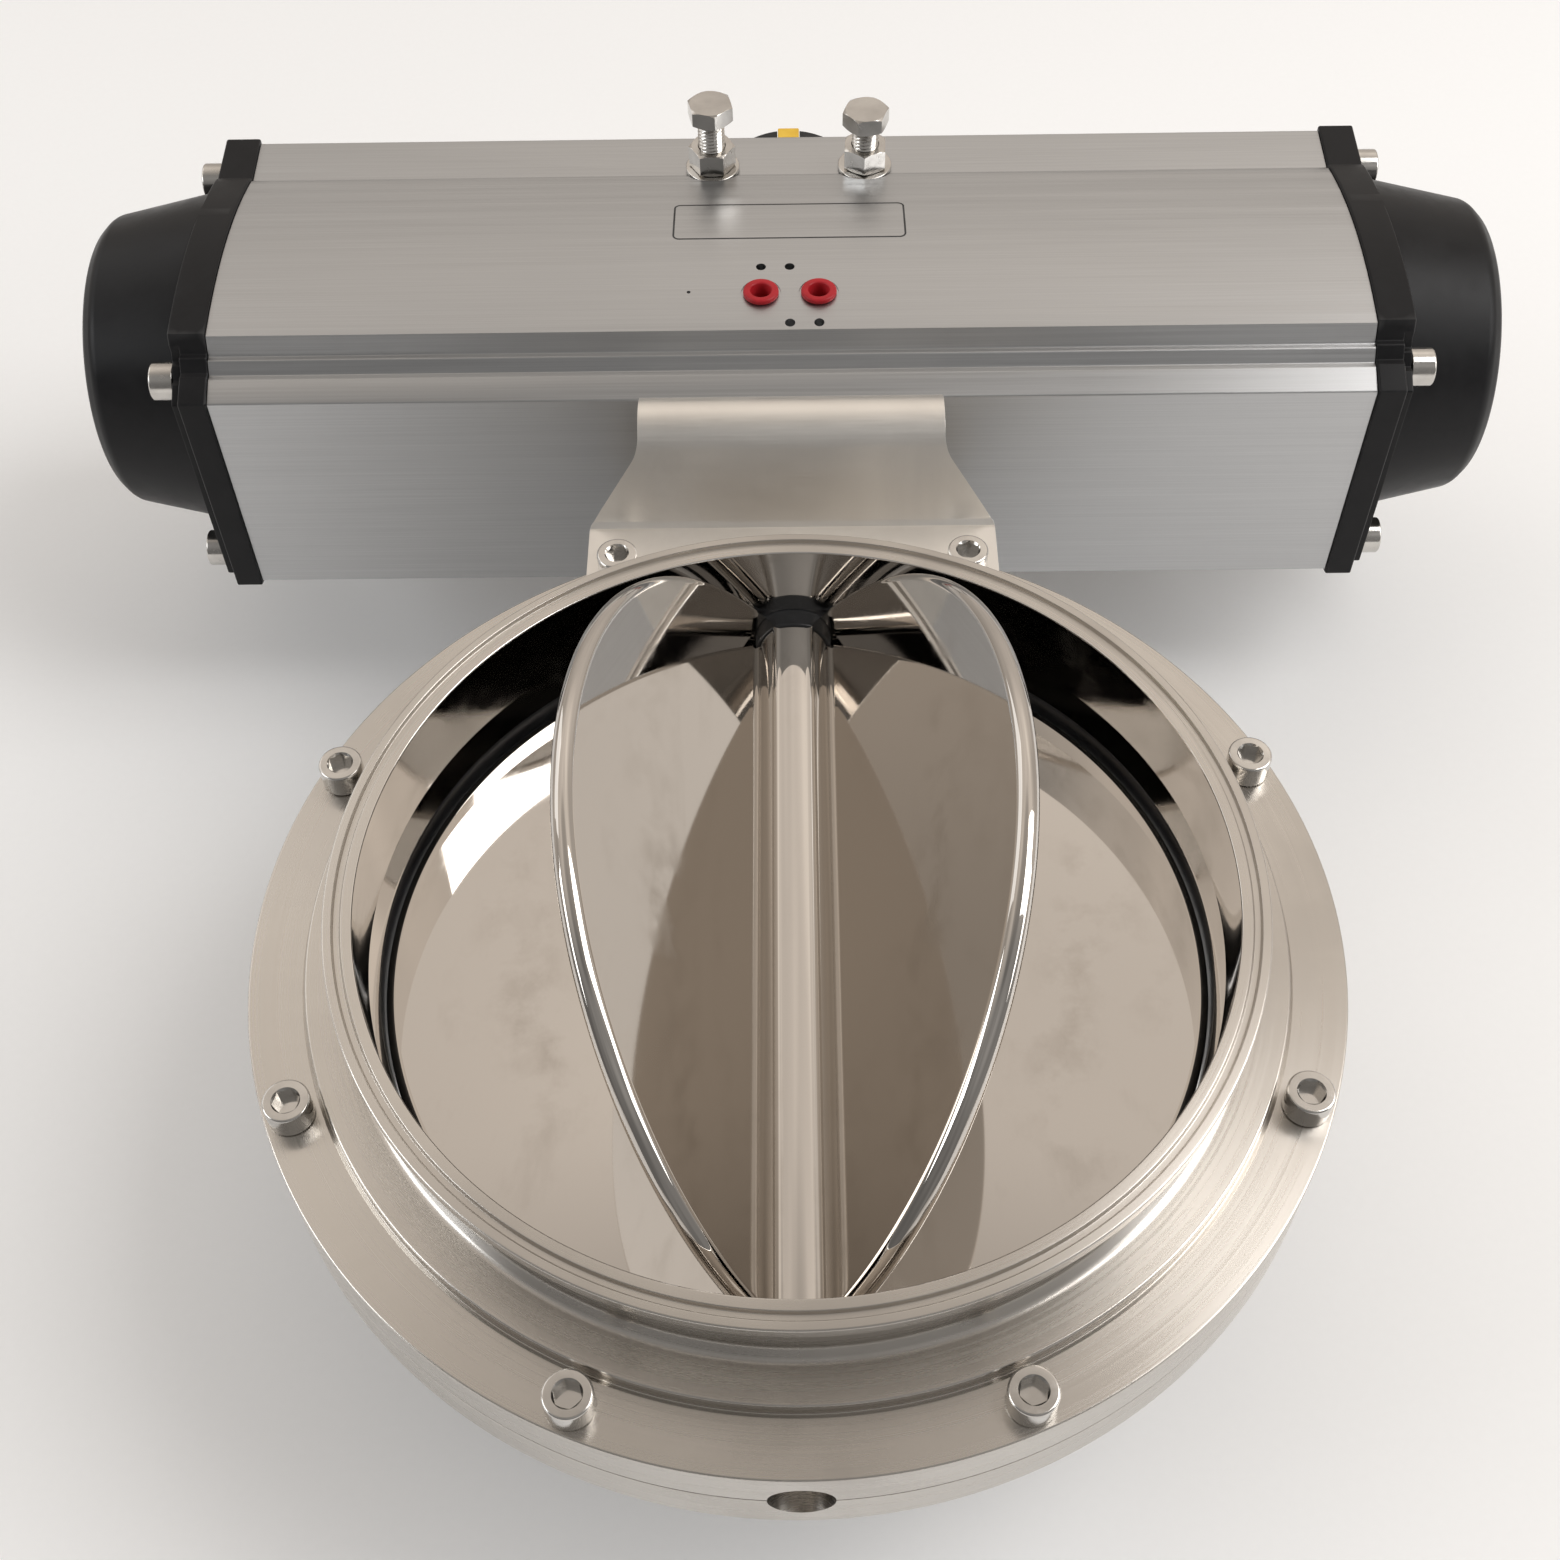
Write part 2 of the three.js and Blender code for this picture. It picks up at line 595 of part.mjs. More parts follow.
function buildActuator() {
  place('actuator_housing', housing(), ANODISED);
  for (const [side, sign] of [['right', 1], ['left', -1]]) {
    const half = new THREE.Group();
    if (sign < 0) half.rotation.y = Math.PI;
    valve.add(half);
    place(`${side}_end_cap`, endCap(), BLACK_PAINT, half);
    place(`${side}_piston`, piston(), ALLOY, half);
    const centre = new THREE.Vector3(0, CYLINDER_Y, 0);
    const seal = ring(X, 58, 61.9, 122, 127, CYLINDER_SIDES, centre);
    place(`${side}_piston_ring`, seal, RUBBER, half);
    capBoltCentres().forEach(([y, z], i) => {
      const bolt = place(`${side}_cap_bolt_${i + 1}`, capScrew(36), FASTENER, half);
      bolt.rotation.y = Math.PI / 2;
      bolt.position.set(HOUSING_HALF + CAP_PLATE + 2 * GAP, y, z);
    });
  }
  place('pinion', pinion(), CARBON_STEEL);
  place('lower_pinion_bush', ring(Y, 24.5, 27.5, HOUSING_BOTTOM + 1, 255), BRONZE);
  place('upper_pinion_bush', ring(Y, 17.6, 20.4, CAM_TOP + 2.5, HOUSING_TOP - 0.5), BRONZE);
  const clip = cut(ring(Y, 15.3, 20.5, 401.2, 403), box([-2, 400, 0], [2, 405, 25]));
  place('snap_ring', clip, CARBON_STEEL);
  place('stop_cam', stopCam(), CARBON_STEEL);
  place('position_indicator', indicatorCup(), BLACK_PLASTIC);
  place('indicator_pointer', box([-5, 433.3, -38.6], [5, 440.6, 38.6]), YELLOW_PLASTIC);
  for (const [index, sign, headZ] of [[1, -1, 88.5], [2, 1, 84.5]]) {
    const stop = new THREE.Vector3(sign * STOP_X, STOP_Y, 0);
    const parts = [
      [`stop_bolt_${index}`, stopBolt(headZ)],
      [`stop_washer_${index}`, ring(Z, 6.5, 12, STOP_FACE_Z + GAP, STOP_FACE_Z + 2.3)],
    ];
    for (const [name, body] of parts) place(name, body, FASTENER).position.copy(stop);
    const nut = place(`lock_nut_${index}`, hexNut(18, 6.5, 10), FASTENER);
    nut.position.copy(stop).setZ(STOP_FACE_Z + 2.6);
  }
  for (const [name, sign] of [['left_port_plug', -1], ['right_port_plug', 1]]) {
    place(name, portPlug(), RED_PLASTIC).position.set(sign * PORT_X, PORT_Y, 0);
  }
}

buildBody();
buildRotor();
buildBracket();
buildActuator();

export default valve;
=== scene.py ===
"""Looks of a clamp-ended rotary valve with a half-turn air actuator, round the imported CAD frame."""

import math
import random

import bmesh
import bpy
from mathutils import Matrix, Vector


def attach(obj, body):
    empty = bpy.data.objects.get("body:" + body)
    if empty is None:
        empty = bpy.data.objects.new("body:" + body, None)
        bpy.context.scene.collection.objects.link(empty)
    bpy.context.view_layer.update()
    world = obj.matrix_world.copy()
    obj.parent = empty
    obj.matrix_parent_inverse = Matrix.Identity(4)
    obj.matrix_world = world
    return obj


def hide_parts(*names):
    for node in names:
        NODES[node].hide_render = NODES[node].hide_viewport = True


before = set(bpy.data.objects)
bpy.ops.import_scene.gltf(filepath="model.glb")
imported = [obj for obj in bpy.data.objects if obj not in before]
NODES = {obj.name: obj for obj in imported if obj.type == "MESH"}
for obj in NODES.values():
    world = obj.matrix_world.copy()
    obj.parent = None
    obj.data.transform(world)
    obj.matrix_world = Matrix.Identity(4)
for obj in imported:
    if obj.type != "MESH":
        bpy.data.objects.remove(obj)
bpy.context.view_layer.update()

MM = 0.001

# ---------------------------------------------------------------- sizes in millimetres
GAP = 0.3                          # between separate pieces that touch
BORE_R, LIP_R, LIP_Z, NECK_R = 149.35, 159.5, 54.5, 154.0
FLANGE_R, FLANGE_Z, BOSS_R, BOSS_Z = 191.5, 19.0, 171.0, 24.5
SEAT_R, SEAT_OUTER_R, SEAT_Z, COLLAR_R = 147.4, 159.7, 9.7, 22.0
BOLT_CIRCLE_R, BOLT_COUNT = 182.0, 8
VANE_COUNT, VANE_R, VANE_T, HUB_R, HUB_END = 6, 146.8, 8.0, 21.0, 145.2
UPPER_STEM_R, LOWER_STEM_R, STEM_SQUARE = 12.5, 10.0, 16.6
SHEET, BEND_R, BEND_Z, FOLD_Y = 6.0, 16.0, 47.5, 192.5
TAB_TOP = FLANGE_Z + GAP + SHEET
TAB_HALF_WIDTH, WEB_HALF_WIDTH = 82.5, 61.5
HOUSING_BOTTOM, HOUSING_TOP, HOUSING_HALF = 237.0, 400.0, 240.0
CYLINDER_Y, CYLINDER_R = 318.5, 62.5
WEB_TOP = HOUSING_BOTTOM - GAP
CAP_START, CAP_PLATE, CAP_STEP, CAP_INSET, CAP_END = HOUSING_HALF + GAP, 15.5, 11.5, 2.5, 305.0
DOME_Y, DOME_R, DOME_END_R = 326.0, 73.5, 64.0
CAP_BOLT_PLACES = [(388, 51), (388, -51), (255, 50), (255, -50)]
STOP_X, STOP_Y, STOP_FACE_Z = 34.0, 377.5, 62.0
PORT_X, PORT_Y, PORT_FACE_Z = 12.0, 278.6, 72.8
F10 = 36.06                        # ISO 5211 F10 holes, along each axis
M10 = (8.0, 10.0, 8.2, 5.0, 5.0)   # head radius and height, socket width and depth, shank radius
M10_HOLE = 5.6

FINE = 2      # facet multiplier


# ---------------------------------------------------------------- mesh helpers
def finished(bm, name, angle=35.0):
    """A mesh object from a bmesh in millimetres, smooth except along edges sharper than angle."""
    bmesh.ops.remove_doubles(bm, verts=bm.verts, dist=1e-4)
    bmesh.ops.dissolve_degenerate(bm, edges=bm.edges, dist=1e-5)
    bmesh.ops.recalc_face_normals(bm, faces=bm.faces)
    bmesh.ops.scale(bm, vec=(MM, MM, MM), verts=bm.verts)
    mesh = bpy.data.meshes.new(name)
    bm.to_mesh(mesh)
    bm.free()
    obj = bpy.data.objects.new(name, mesh)
    bpy.context.scene.collection.objects.link(obj)
    smooth(obj, angle)
    return obj


def smooth(obj, angle=35.0):
    mesh = obj.data
    mesh.polygons.foreach_set("use_smooth", [True] * len(mesh.polygons))
    mesh.set_sharp_from_angle(angle=math.radians(angle))


def applied(obj):
    """Replaces the object's mesh by the result of its modifiers."""
    graph = bpy.context.evaluated_depsgraph_get()
    mesh = bpy.data.meshes.new_from_object(obj.evaluated_get(graph))
    old = obj.data
    obj.modifiers.clear()
    obj.data = mesh
    if old.users == 0:
        bpy.data.meshes.remove(old)
    return obj


def boolean(obj, others, operation):
    """Joins or cuts the object with others, which are used up."""
    for other in others:
        modifier = obj.modifiers.new("op", "BOOLEAN")
        modifier.operation = operation
        modifier.solver = "EXACT"
        modifier.object = other
        applied(obj)
    for other in others:
        bpy.data.objects.remove(other)
    return obj


def bevelled(obj, width, segments=3, angle=40.0):
    modifier = obj.modifiers.new("edge", "BEVEL")
    modifier.width = width * MM
    modifier.segments = segments
    modifier.limit_method = "ANGLE"
    modifier.angle_limit = math.radians(angle)
    modifier.harden_normals = False
    applied(obj)
    smooth(obj)
    return obj


def rounded(points, steps=5):
    """A closed outline of (a, b, radius) corners with each corner replaced by an arc."""
    outline = []
    count = len(points)
    for i, (x, y, radius) in enumerate(points):
        here = Vector((x, y))
        before = Vector(points[i - 1][:2]) - here
        after = Vector(points[(i + 1) % count][:2]) - here
        if radius <= 0:
            outline.append((x, y))
            continue
        a, b = before.normalized(), after.normalized()
        half = a.angle(b) / 2
        reach = min(radius / math.tan(half), before.length * 0.49, after.length * 0.49)
        radius = reach * math.tan(half)
        centre = here + (a + b).normalized() * (radius / math.sin(half))
        start, end = here + a * reach - centre, here + b * reach - centre
        sweep = start.angle_signed(end)
        for k in range(steps + 1):
            turn = -sweep * k / steps
            spun = Matrix.Rotation(turn, 2) @ start
            outline.append((centre.x + spun.x, centre.y + spun.y))
    return outline


AXIS_FRAMES = {
    "X": lambda a, b, h: (h, a, b),
    "Y": lambda a, b, h: (b, h, a),
    "Z": lambda a, b, h: (a, b, h),
}


def lathe(outline, axis, sides, centre=(0, 0, 0)):
    """Turns a closed outline of (radius, height) about an axis through centre, as a bmesh."""
    place = AXIS_FRAMES[axis]
    bm = bmesh.new()
    loops = []
    for i in range(sides):
        angle = 2 * math.pi * i / sides
        loop = []
        for radius, height in outline:
            x, y, z = place(radius * math.cos(angle), radius * math.sin(angle), height)
            loop.append(bm.verts.new((x + centre[0], y + centre[1], z + centre[2])))
        loops.append(loop)
    count = len(outline)
    for i in range(sides):
        one, two = loops[i], loops[(i + 1) % sides]
        for j in range(count):
            k = (j + 1) % count
            if outline[j][0] < 1e-6 and outline[k][0] < 1e-6:
                continue
            bm.faces.new((one[j], one[k], two[k], two[j]))
    return bm


def turned(name, points, axis, sides, centre=(0, 0, 0), steps=4):
    return finished(lathe(rounded(points, steps), axis, sides, centre), name)


def rod(axis, radius, low, high, centre=(0, 0, 0), sides=48):
    """A plain round cutter."""
    outline = [(0, low), (radius, low), (radius, high), (0, high)]
    return finished(lathe(outline, axis, sides, centre), "cutter")


def prism(name, outline, axis, low, high, rows=1):
    """Extrudes an outline of (a, b) points along an axis."""
    place = AXIS_FRAMES[axis]
    bm = bmesh.new()
    loops = []
    for r in range(rows + 1):
        h = low + (high - low) * r / rows
        loops.append([bm.verts.new(place(a, b, h)) for a, b in outline])
    count = len(outline)
    for one, two in zip(loops, loops[1:]):
        for j in range(count):
            k = (j + 1) % count
            bm.faces.new((one[j], one[k], two[k], two[j]))
    bm.faces.new(loops[0])
    bm.faces.new(loops[-1])
    return finished(bm, name)


def block(low, high):
    outline = [(low[0], low[1]), (high[0], low[1]), (high[0], high[1]), (low[0], high[1])]
    return prism("cutter", outline, "Z", low[2], high[2])


def circle(radius, sides, turn=0.0):
    step = 2 * math.pi / sides
    return [(radius * math.cos(turn + i * step), radius * math.sin(turn + i * step)) for i in range(sides)]


def copy_of(obj, name, matrix):
    """Another object with the same mesh, moved by a matrix given in millimetres."""
    twin = bpy.data.objects.new(name, obj.data)
    bpy.context.scene.collection.objects.link(twin)
    moved = matrix.copy()
    moved.translation = matrix.translation * MM
    twin.matrix_world = moved
    return twin


def baked(obj, matrix):
    """Moves the object's own vertices, by a matrix given in millimetres."""
    moved = matrix.copy()
    moved.translation = matrix.translation * MM
    obj.data.transform(moved)
    return obj


def joined(name, *objs):
    """One object from several touching ones, which are used up."""
    bm = bmesh.new()
    for obj in objs:
        bm.from_mesh(obj.data)
        bpy.data.objects.remove(obj)
    mesh = bpy.data.meshes.new(name)
    bm.to_mesh(mesh)
    bm.free()
    made = bpy.data.objects.new(name, mesh)
    bpy.context.scene.collection.objects.link(made)
    smooth(made)
    return made


def settle(obj, body, slot, material, *nodes):
    """Gives a piece its material, its CAD body and the CAD nodes that it stands for; the slot is not used.
    """
    obj.data.materials.clear()
    obj.data.materials.append(material)
    even = obj.modifiers.new("even_normals", "WEIGHTED_NORMAL")
    even.keep_sharp = True
    even.weight = 90
    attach(obj, body)
    if nodes:
        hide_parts(*nodes)
    return obj


# ---------------------------------------------------------------- materials
class Surface:
    """A Principled material and short calls for the nodes that feed it."""

    def __init__(self, name, colour, metallic, roughness, **sockets):
        self.material = bpy.data.materials.new(name)
        self.material.use_nodes = True
        self.tree = self.material.node_tree
        self.shader = self.tree.nodes["Principled BSDF"]
        self.shader.inputs["Base Color"].default_value = (*colour, 1)
        self.shader.inputs["Metallic"].default_value = metallic
        self.shader.inputs["Roughness"].default_value = roughness
        for key, value in sockets.items():
            self.shader.inputs[key.replace("_", " ")].default_value = value
        self.place = self.node("ShaderNodeTexCoord").outputs["Object"]

    def node(self, kind, settings=None, **inputs):
        made = self.tree.nodes.new(kind)
        for key, value in (settings or {}).items():
            setattr(made, key, value)
        for key, value in inputs.items():
            self.feed(made.inputs[int(key[1:]) if key[0] == "i" and key[1:].isdigit() else key], value)
        return made

    def feed(self, socket, value):
        if isinstance(value, bpy.types.NodeSocket):
            self.tree.links.new(value, socket)
        else:
            socket.default_value = value

    def math(self, operation, *values):
        made = self.tree.nodes.new("ShaderNodeMath")
        made.operation = operation
        for socket, value in zip(made.inputs, values):
            self.feed(socket, value)
        return made.outputs[0]

    def stretched(self, scale):
        return self.node("ShaderNodeMapping", Vector=self.place, Scale=scale).outputs[0]

    def noise(self, vector, scale, detail=3.0, roughness=0.5, distortion=0.0):
        made = self.node("ShaderNodeTexNoise", Vector=vector, Scale=scale, Detail=detail,
                         Roughness=roughness, Distortion=distortion)
        return made.outputs[0]

    def lines(self, along, scale, detail=3.0):
        """Noise that varies along one number only, which draws fine parallel lines."""
        made = self.node("ShaderNodeTexNoise", {"noise_dimensions": "1D"}, W=along, Scale=scale,
                         Detail=detail)
        return made.outputs[0]

    def remap(self, value, low, high, new_low, new_high):
        made = self.tree.nodes.new("ShaderNodeMapRange")
        for key, number in zip(range(1, 5), (low, high, new_low, new_high)):
            made.inputs[key].default_value = number
        self.feed(made.inputs[0], value)
        return made.outputs[0]

    def mix(self, factor, one, two):
        made = self.tree.nodes.new("ShaderNodeMix")
        made.data_type = "RGBA"
        self.feed(made.inputs[0], factor)
        self.feed(made.inputs[6], (*one, 1) if isinstance(one, tuple) else one)
        self.feed(made.inputs[7], (*two, 1) if isinstance(two, tuple) else two)
        return made.outputs[2]

    def distance_from(self, axis):
        """Distance from the X, Y or Z axis through the origin."""
        keep = [0.0 if name == axis else 1.0 for name in "XYZ"]
        flat = self.node("ShaderNodeVectorMath", {"operation": "MULTIPLY"}, i0=self.place, i1=keep)
        size = self.node("ShaderNodeVectorMath", {"operation": "LENGTH"}, i0=flat.outputs[0])
        return size.outputs["Value"]

    def along(self, axis):
        return self.node("ShaderNodeSeparateXYZ", Vector=self.place).outputs["XYZ".index(axis)]

    def edges(self, low, high):
        """1 on sharp outer edges, 0 elsewhere."""
        point = self.node("ShaderNodeNewGeometry").outputs["Pointiness"]
        return self.remap(point, low, high, 0.0, 1.0)

    def tangent(self, axis):
        made = self.node("ShaderNodeTangent", {"direction_type": "RADIAL", "axis": axis})
        self.tree.links.new(made.outputs[0], self.shader.inputs["Tangent"])

    def colour(self, value):
        self.feed(self.shader.inputs["Base Color"], value)

    def roughness(self, value):
        self.feed(self.shader.inputs["Roughness"], value)

    def bump(self, height, strength, distance_mm):
        previous = self.shader.inputs["Normal"].links
        made = self.node("ShaderNodeBump", Height=height, Strength=strength, Distance=distance_mm * MM)
        if previous:
            self.tree.links.new(previous[0].from_socket, made.inputs["Normal"])
        self.tree.links.new(made.outputs[0], self.shader.inputs["Normal"])


def turned_steel(name, axis="Z", roughness=0.16):
    """Stainless steel off the lathe: fine rings round an axis that pull highlights into fans."""
    s = Surface(name, (0.58, 0.55, 0.51), 1.0, roughness, Anisotropic=0.75, Anisotropic_Rotation=0.25)
    s.tangent(axis)
    reach = s.distance_from(axis)
    height = s.along(axis)
    travel = s.math("ADD", reach, height)
    rings = s.lines(travel, 900.0, 4.0)
    bands = s.lines(travel, 130.0, 2.0)
    smear = s.noise(s.place, 9.0, 5.0, 0.6, 0.4)
    rough = s.math("ADD", s.remap(rings, 0.3, 0.7, roughness * 0.88, roughness * 1.14),
                   s.remap(smear, 0.45, 0.75, 0.0, 0.10))
    s.roughness(s.math("ADD", rough, s.remap(bands, 0.35, 0.65, -0.015, 0.015)))
    tint = s.mix(s.remap(smear, 0.35, 0.7, 0.0, 1.0), (0.61, 0.58, 0.54), (0.53, 0.50, 0.465))
    s.colour(tint)
    s.bump(rings, 0.02, 0.02)
    return s.material


def mirror_steel(name, clean, worn):
    """Polished stainless steel with wipe marks and a slight waviness."""
    s = Surface(name, clean, 1.0, 0.04)
    smear = s.noise(s.stretched((1.0, 0.35, 1.0)), 16.0, 6.0, 0.62, 0.6)
    spots = s.noise(s.place, 42.0, 5.0, 0.6)
    marks = s.math("MULTIPLY", s.remap(smear, 0.5, 0.72, 0.0, 1.0), s.remap(spots, 0.45, 0.6, 0.0, 1.0))
    s.roughness(s.remap(marks, 0.0, 1.0, 0.035, 0.16))
    s.colour(s.mix(marks, clean, worn))
    s.bump(s.noise(s.place, 7.0, 2.0), 0.35, 0.25)
    return s.material


def sheet_steel(name):
    """Bright rolled sheet with faint rolling lines and handling marks."""
    s = Surface(name, (0.60, 0.58, 0.55), 1.0, 0.38, Anisotropic=0.35)
    s.tangent("X")
    grain = s.noise(s.stretched((1.0, 40.0, 40.0)), 60.0, 3.0)
    smear = s.noise(s.place, 14.0, 5.0, 0.6, 0.8)
    s.roughness(s.math("ADD", s.remap(grain, 0.3, 0.7, 0.33, 0.42), s.remap(smear, 0.5, 0.75, 0.0, 0.10)))
    s.colour(s.mix(s.remap(smear, 0.4, 0.75, 0.0, 1.0), (0.88, 0.85, 0.805), (0.77, 0.74, 0.70)))
    s.bump(grain, 0.12, 0.02)
    return s.material


def fastener_steel(name):
    """Cold-formed stainless screws: bright, with light scuffs and duller patches."""
    s = Surface(name, (0.62, 0.60, 0.575), 1.0, 0.16)
    scuff = s.noise(s.place, 260.0, 4.0, 0.6)
    patch = s.noise(s.place, 60.0, 3.0)
    s.roughness(s.math("ADD", s.remap(scuff, 0.4, 0.75, 0.12, 0.26), s.remap(patch, 0.4, 0.7, 0.0, 0.08)))
    s.colour(s.mix(s.remap(patch, 0.35, 0.7, 0.0, 1.0), (0.64, 0.62, 0.59), (0.50, 0.48, 0.455)))
    s.bump(scuff, 0.06, 0.03)
    return s.material


def anodised(name):
    """Satin natural anodised extrusion: die lines along X and faint cloudiness."""
    s = Surface(name, (0.55, 0.54, 0.53), 1.0, 0.36, Anisotropic=0.45)
    s.tangent("X")
    lines = s.noise(s.stretched((0.4, 60.0, 60.0)), 24.0, 4.0, 0.6)
    cloud = s.noise(s.stretched((0.5, 1.0, 1.0)), 7.0, 3.0)
    grit = s.noise(s.place, 1500.0, 2.0)
    s.roughness(s.math("ADD", s.remap(lines, 0.3, 0.7, 0.31, 0.40), s.remap(cloud, 0.4, 0.7, -0.02, 0.05)))
    s.colour(s.mix(s.remap(lines, 0.3, 0.7, 0.0, 1.0), (0.475, 0.48, 0.487), (0.545, 0.55, 0.556)))
    s.bump(lines, 0.10, 0.03)
    s.bump(grit, 0.10, 0.01)
    return s.material


def black_coat(name):
    """Satin black coating over a casting: orange peel and rubbed edges."""
    s = Surface(name, (0.010, 0.010, 0.011), 0.0, 0.36, Specular_IOR_Level=0.17)
    peel = s.noise(s.place, 700.0, 3.0, 0.6)
    rub = s.noise(s.place, 60.0, 5.0, 0.65)
    rubbed = s.math("MULTIPLY", s.edges(0.54, 0.62), s.remap(rub, 0.35, 0.65, 0.2, 1.0))
    body = s.mix(s.remap(rub, 0.35, 0.75, 0.0, 1.0), (0.008, 0.008, 0.009), (0.013, 0.013, 0.014))
    s.colour(s.mix(rubbed, body, (0.12, 0.12, 0.12)))
    s.roughness(s.remap(rub, 0.3, 0.7, 0.33, 0.46))
    s.bump(peel, 0.18, 0.06)
    return s.material


def rubber(name):
    """Smooth black rubber with a faint grey bloom."""
    s = Surface(name, (0.018, 0.019, 0.021), 0.0, 0.5, Specular_IOR_Level=0.45)
    grain = s.noise(s.place, 900.0, 3.0)
    bloom = s.noise(s.place, 30.0, 4.0, 0.6)
    s.colour(s.mix(s.remap(bloom, 0.4, 0.75, 0.0, 1.0), (0.016, 0.017, 0.019), (0.040, 0.042, 0.046)))
    s.roughness(s.remap(bloom, 0.3, 0.7, 0.28, 0.42))
    s.bump(grain, 0.15, 0.03)
    return s.material


def moulded(name, colour, light, roughness):
    """Moulded plastic with a fine spark-eroded grain."""
    s = Surface(name, colour, 0.0, roughness, Specular_IOR_Level=0.25)
    grain = s.noise(s.place, 1200.0, 3.0)
    tone = s.noise(s.place, 120.0, 3.0)
    s.colour(s.mix(s.remap(tone, 0.35, 0.7, 0.0, 1.0), colour, light))
    s.roughness(s.remap(tone, 0.3, 0.7, roughness * 0.85, roughness * 1.2))
    s.bump(grain, 0.12, 0.03)
    return s.material


def machined(name, colour, worn, roughness, axis):
    """Bronze or plain steel turned about an axis."""
    s = Surface(name, colour, 1.0, roughness, Anisotropic=0.4, Anisotropic_Rotation=0.25)
    s.tangent(axis)
    rings = s.lines(s.math("ADD", s.distance_from(axis), s.along(axis)), 1200.0, 3.0)
    tone = s.noise(s.place, 70.0, 4.0)
    s.colour(s.mix(s.remap(tone, 0.35, 0.7, 0.0, 1.0), colour, worn))
    s.roughness(s.remap(rings, 0.3, 0.7, roughness * 0.8, roughness * 1.25))
    s.bump(rings, 0.2, 0.02)
    return s.material


TURNED = turned_steel("turned_stainless", roughness=0.25)
POLISHED_BORE = mirror_steel("polished_bore", (0.80, 0.775, 0.745), (0.70, 0.675, 0.64))
MIRROR = mirror_steel("mirror_stainless", (0.58, 0.548, 0.512), (0.50, 0.466, 0.427))
SHEET_METAL = sheet_steel("sheet_stainless")
FASTENER = fastener_steel("stainless_fastener")
ALUMINIUM = anodised("anodised_aluminium")
BLACK = black_coat("black_coat")
RUBBER = rubber("seat_rubber")
RED = moulded("red_plastic", (0.36, 0.012, 0.018), (0.43, 0.020, 0.028), 0.42)
YELLOW = moulded("yellow_plastic", (0.70, 0.42, 0.04), (0.80, 0.52, 0.07), 0.45)
BLACK_PLASTIC = moulded("black_plastic", (0.02, 0.02, 0.021), (0.035, 0.035, 0.036), 0.5)
BRONZE = machined("bush_bronze", (0.50, 0.36, 0.18), (0.58, 0.44, 0.24), 0.3, "Y")
ALLOY = machined("piston_alloy", (0.62, 0.62, 0.61), (0.52, 0.52, 0.51), 0.3, "X")
STEEL = machined("carbon_steel", (0.30, 0.30, 0.31), (0.38, 0.37, 0.36), 0.28, "Y")


# ---------------------------------------------------------------- body
HALF_TURN = Matrix.Rotation(math.pi, 4, "Y")


def body_outline():
    """Section of the upper body half as (radius, z, corner radius)."""
    return [
        (147.7, 10.0, 0), (160.0, 10.0, 0), (160.0, 0.15, 0), (FLANGE_R, 0.15, 0.7),
        (FLANGE_R, FLANGE_Z, 0.7), (172.6, FLANGE_Z, 0.6), (BOSS_R + 0.05, 18.2, 0.3),
        (BOSS_R, BOSS_Z, 0.8), (157.2, BOSS_Z, 3.5), (NECK_R, 27.9, 2.5), (NECK_R, 46.3, 3.0),
        (LIP_R, 49.9, 0.7), (LIP_R, LIP_Z, 0.7), (156.3, LIP_Z, 0.4), (155.7, 53.0, 0.3),
        (153.8, 53.0, 0.3), (153.2, LIP_Z, 0.4), (BORE_R, LIP_Z, 0.6), (BORE_R, 22.0, 0.8),
    ]


def bolt_place(i):
    """Bolt positions round the flange, counted clockwise from the stem."""
    angle = (i - 0.5) * 2 * math.pi / BOLT_COUNT
    return BOLT_CIRCLE_R * math.sin(angle), BOLT_CIRCLE_R * math.cos(angle)


def make_body():
    upper = turned("body_half_upper", body_outline(), "Z", 144 * FINE)
    cuts = [rod("Z", M10_HOLE, -5, 30, (*bolt_place(i), 0)) for i in range(1, BOLT_COUNT + 1)]
    for radius, low, high in ((COLLAR_R + GAP, 140, 160), (14.5, 150, 200), (COLLAR_R + GAP, -160, -140),
                              (12.6, -181, -150), (10.6, -200, -150)):
        cuts.append(rod("Y", radius, low, high))
    boolean(upper, cuts, "DIFFERENCE")
    smooth(upper)
    lower = copy_of(upper, "body_half_lower", HALF_TURN)
    settle(upper, "body", "turned_stainless", TURNED, "upper_body")
    settle(lower, "body", "turned_stainless", TURNED, "lower_body")
    polish_bore(upper.data)


def polish_bore(mesh):
    """The bore and the cone under it have a finer finish than the outside."""
    mesh.materials.append(POLISHED_BORE)
    for face in mesh.polygons:
        x, y, z = face.center / MM
        if math.hypot(x, y) < BORE_R + 0.3 and z > 9.0:
            face.material_index = 1


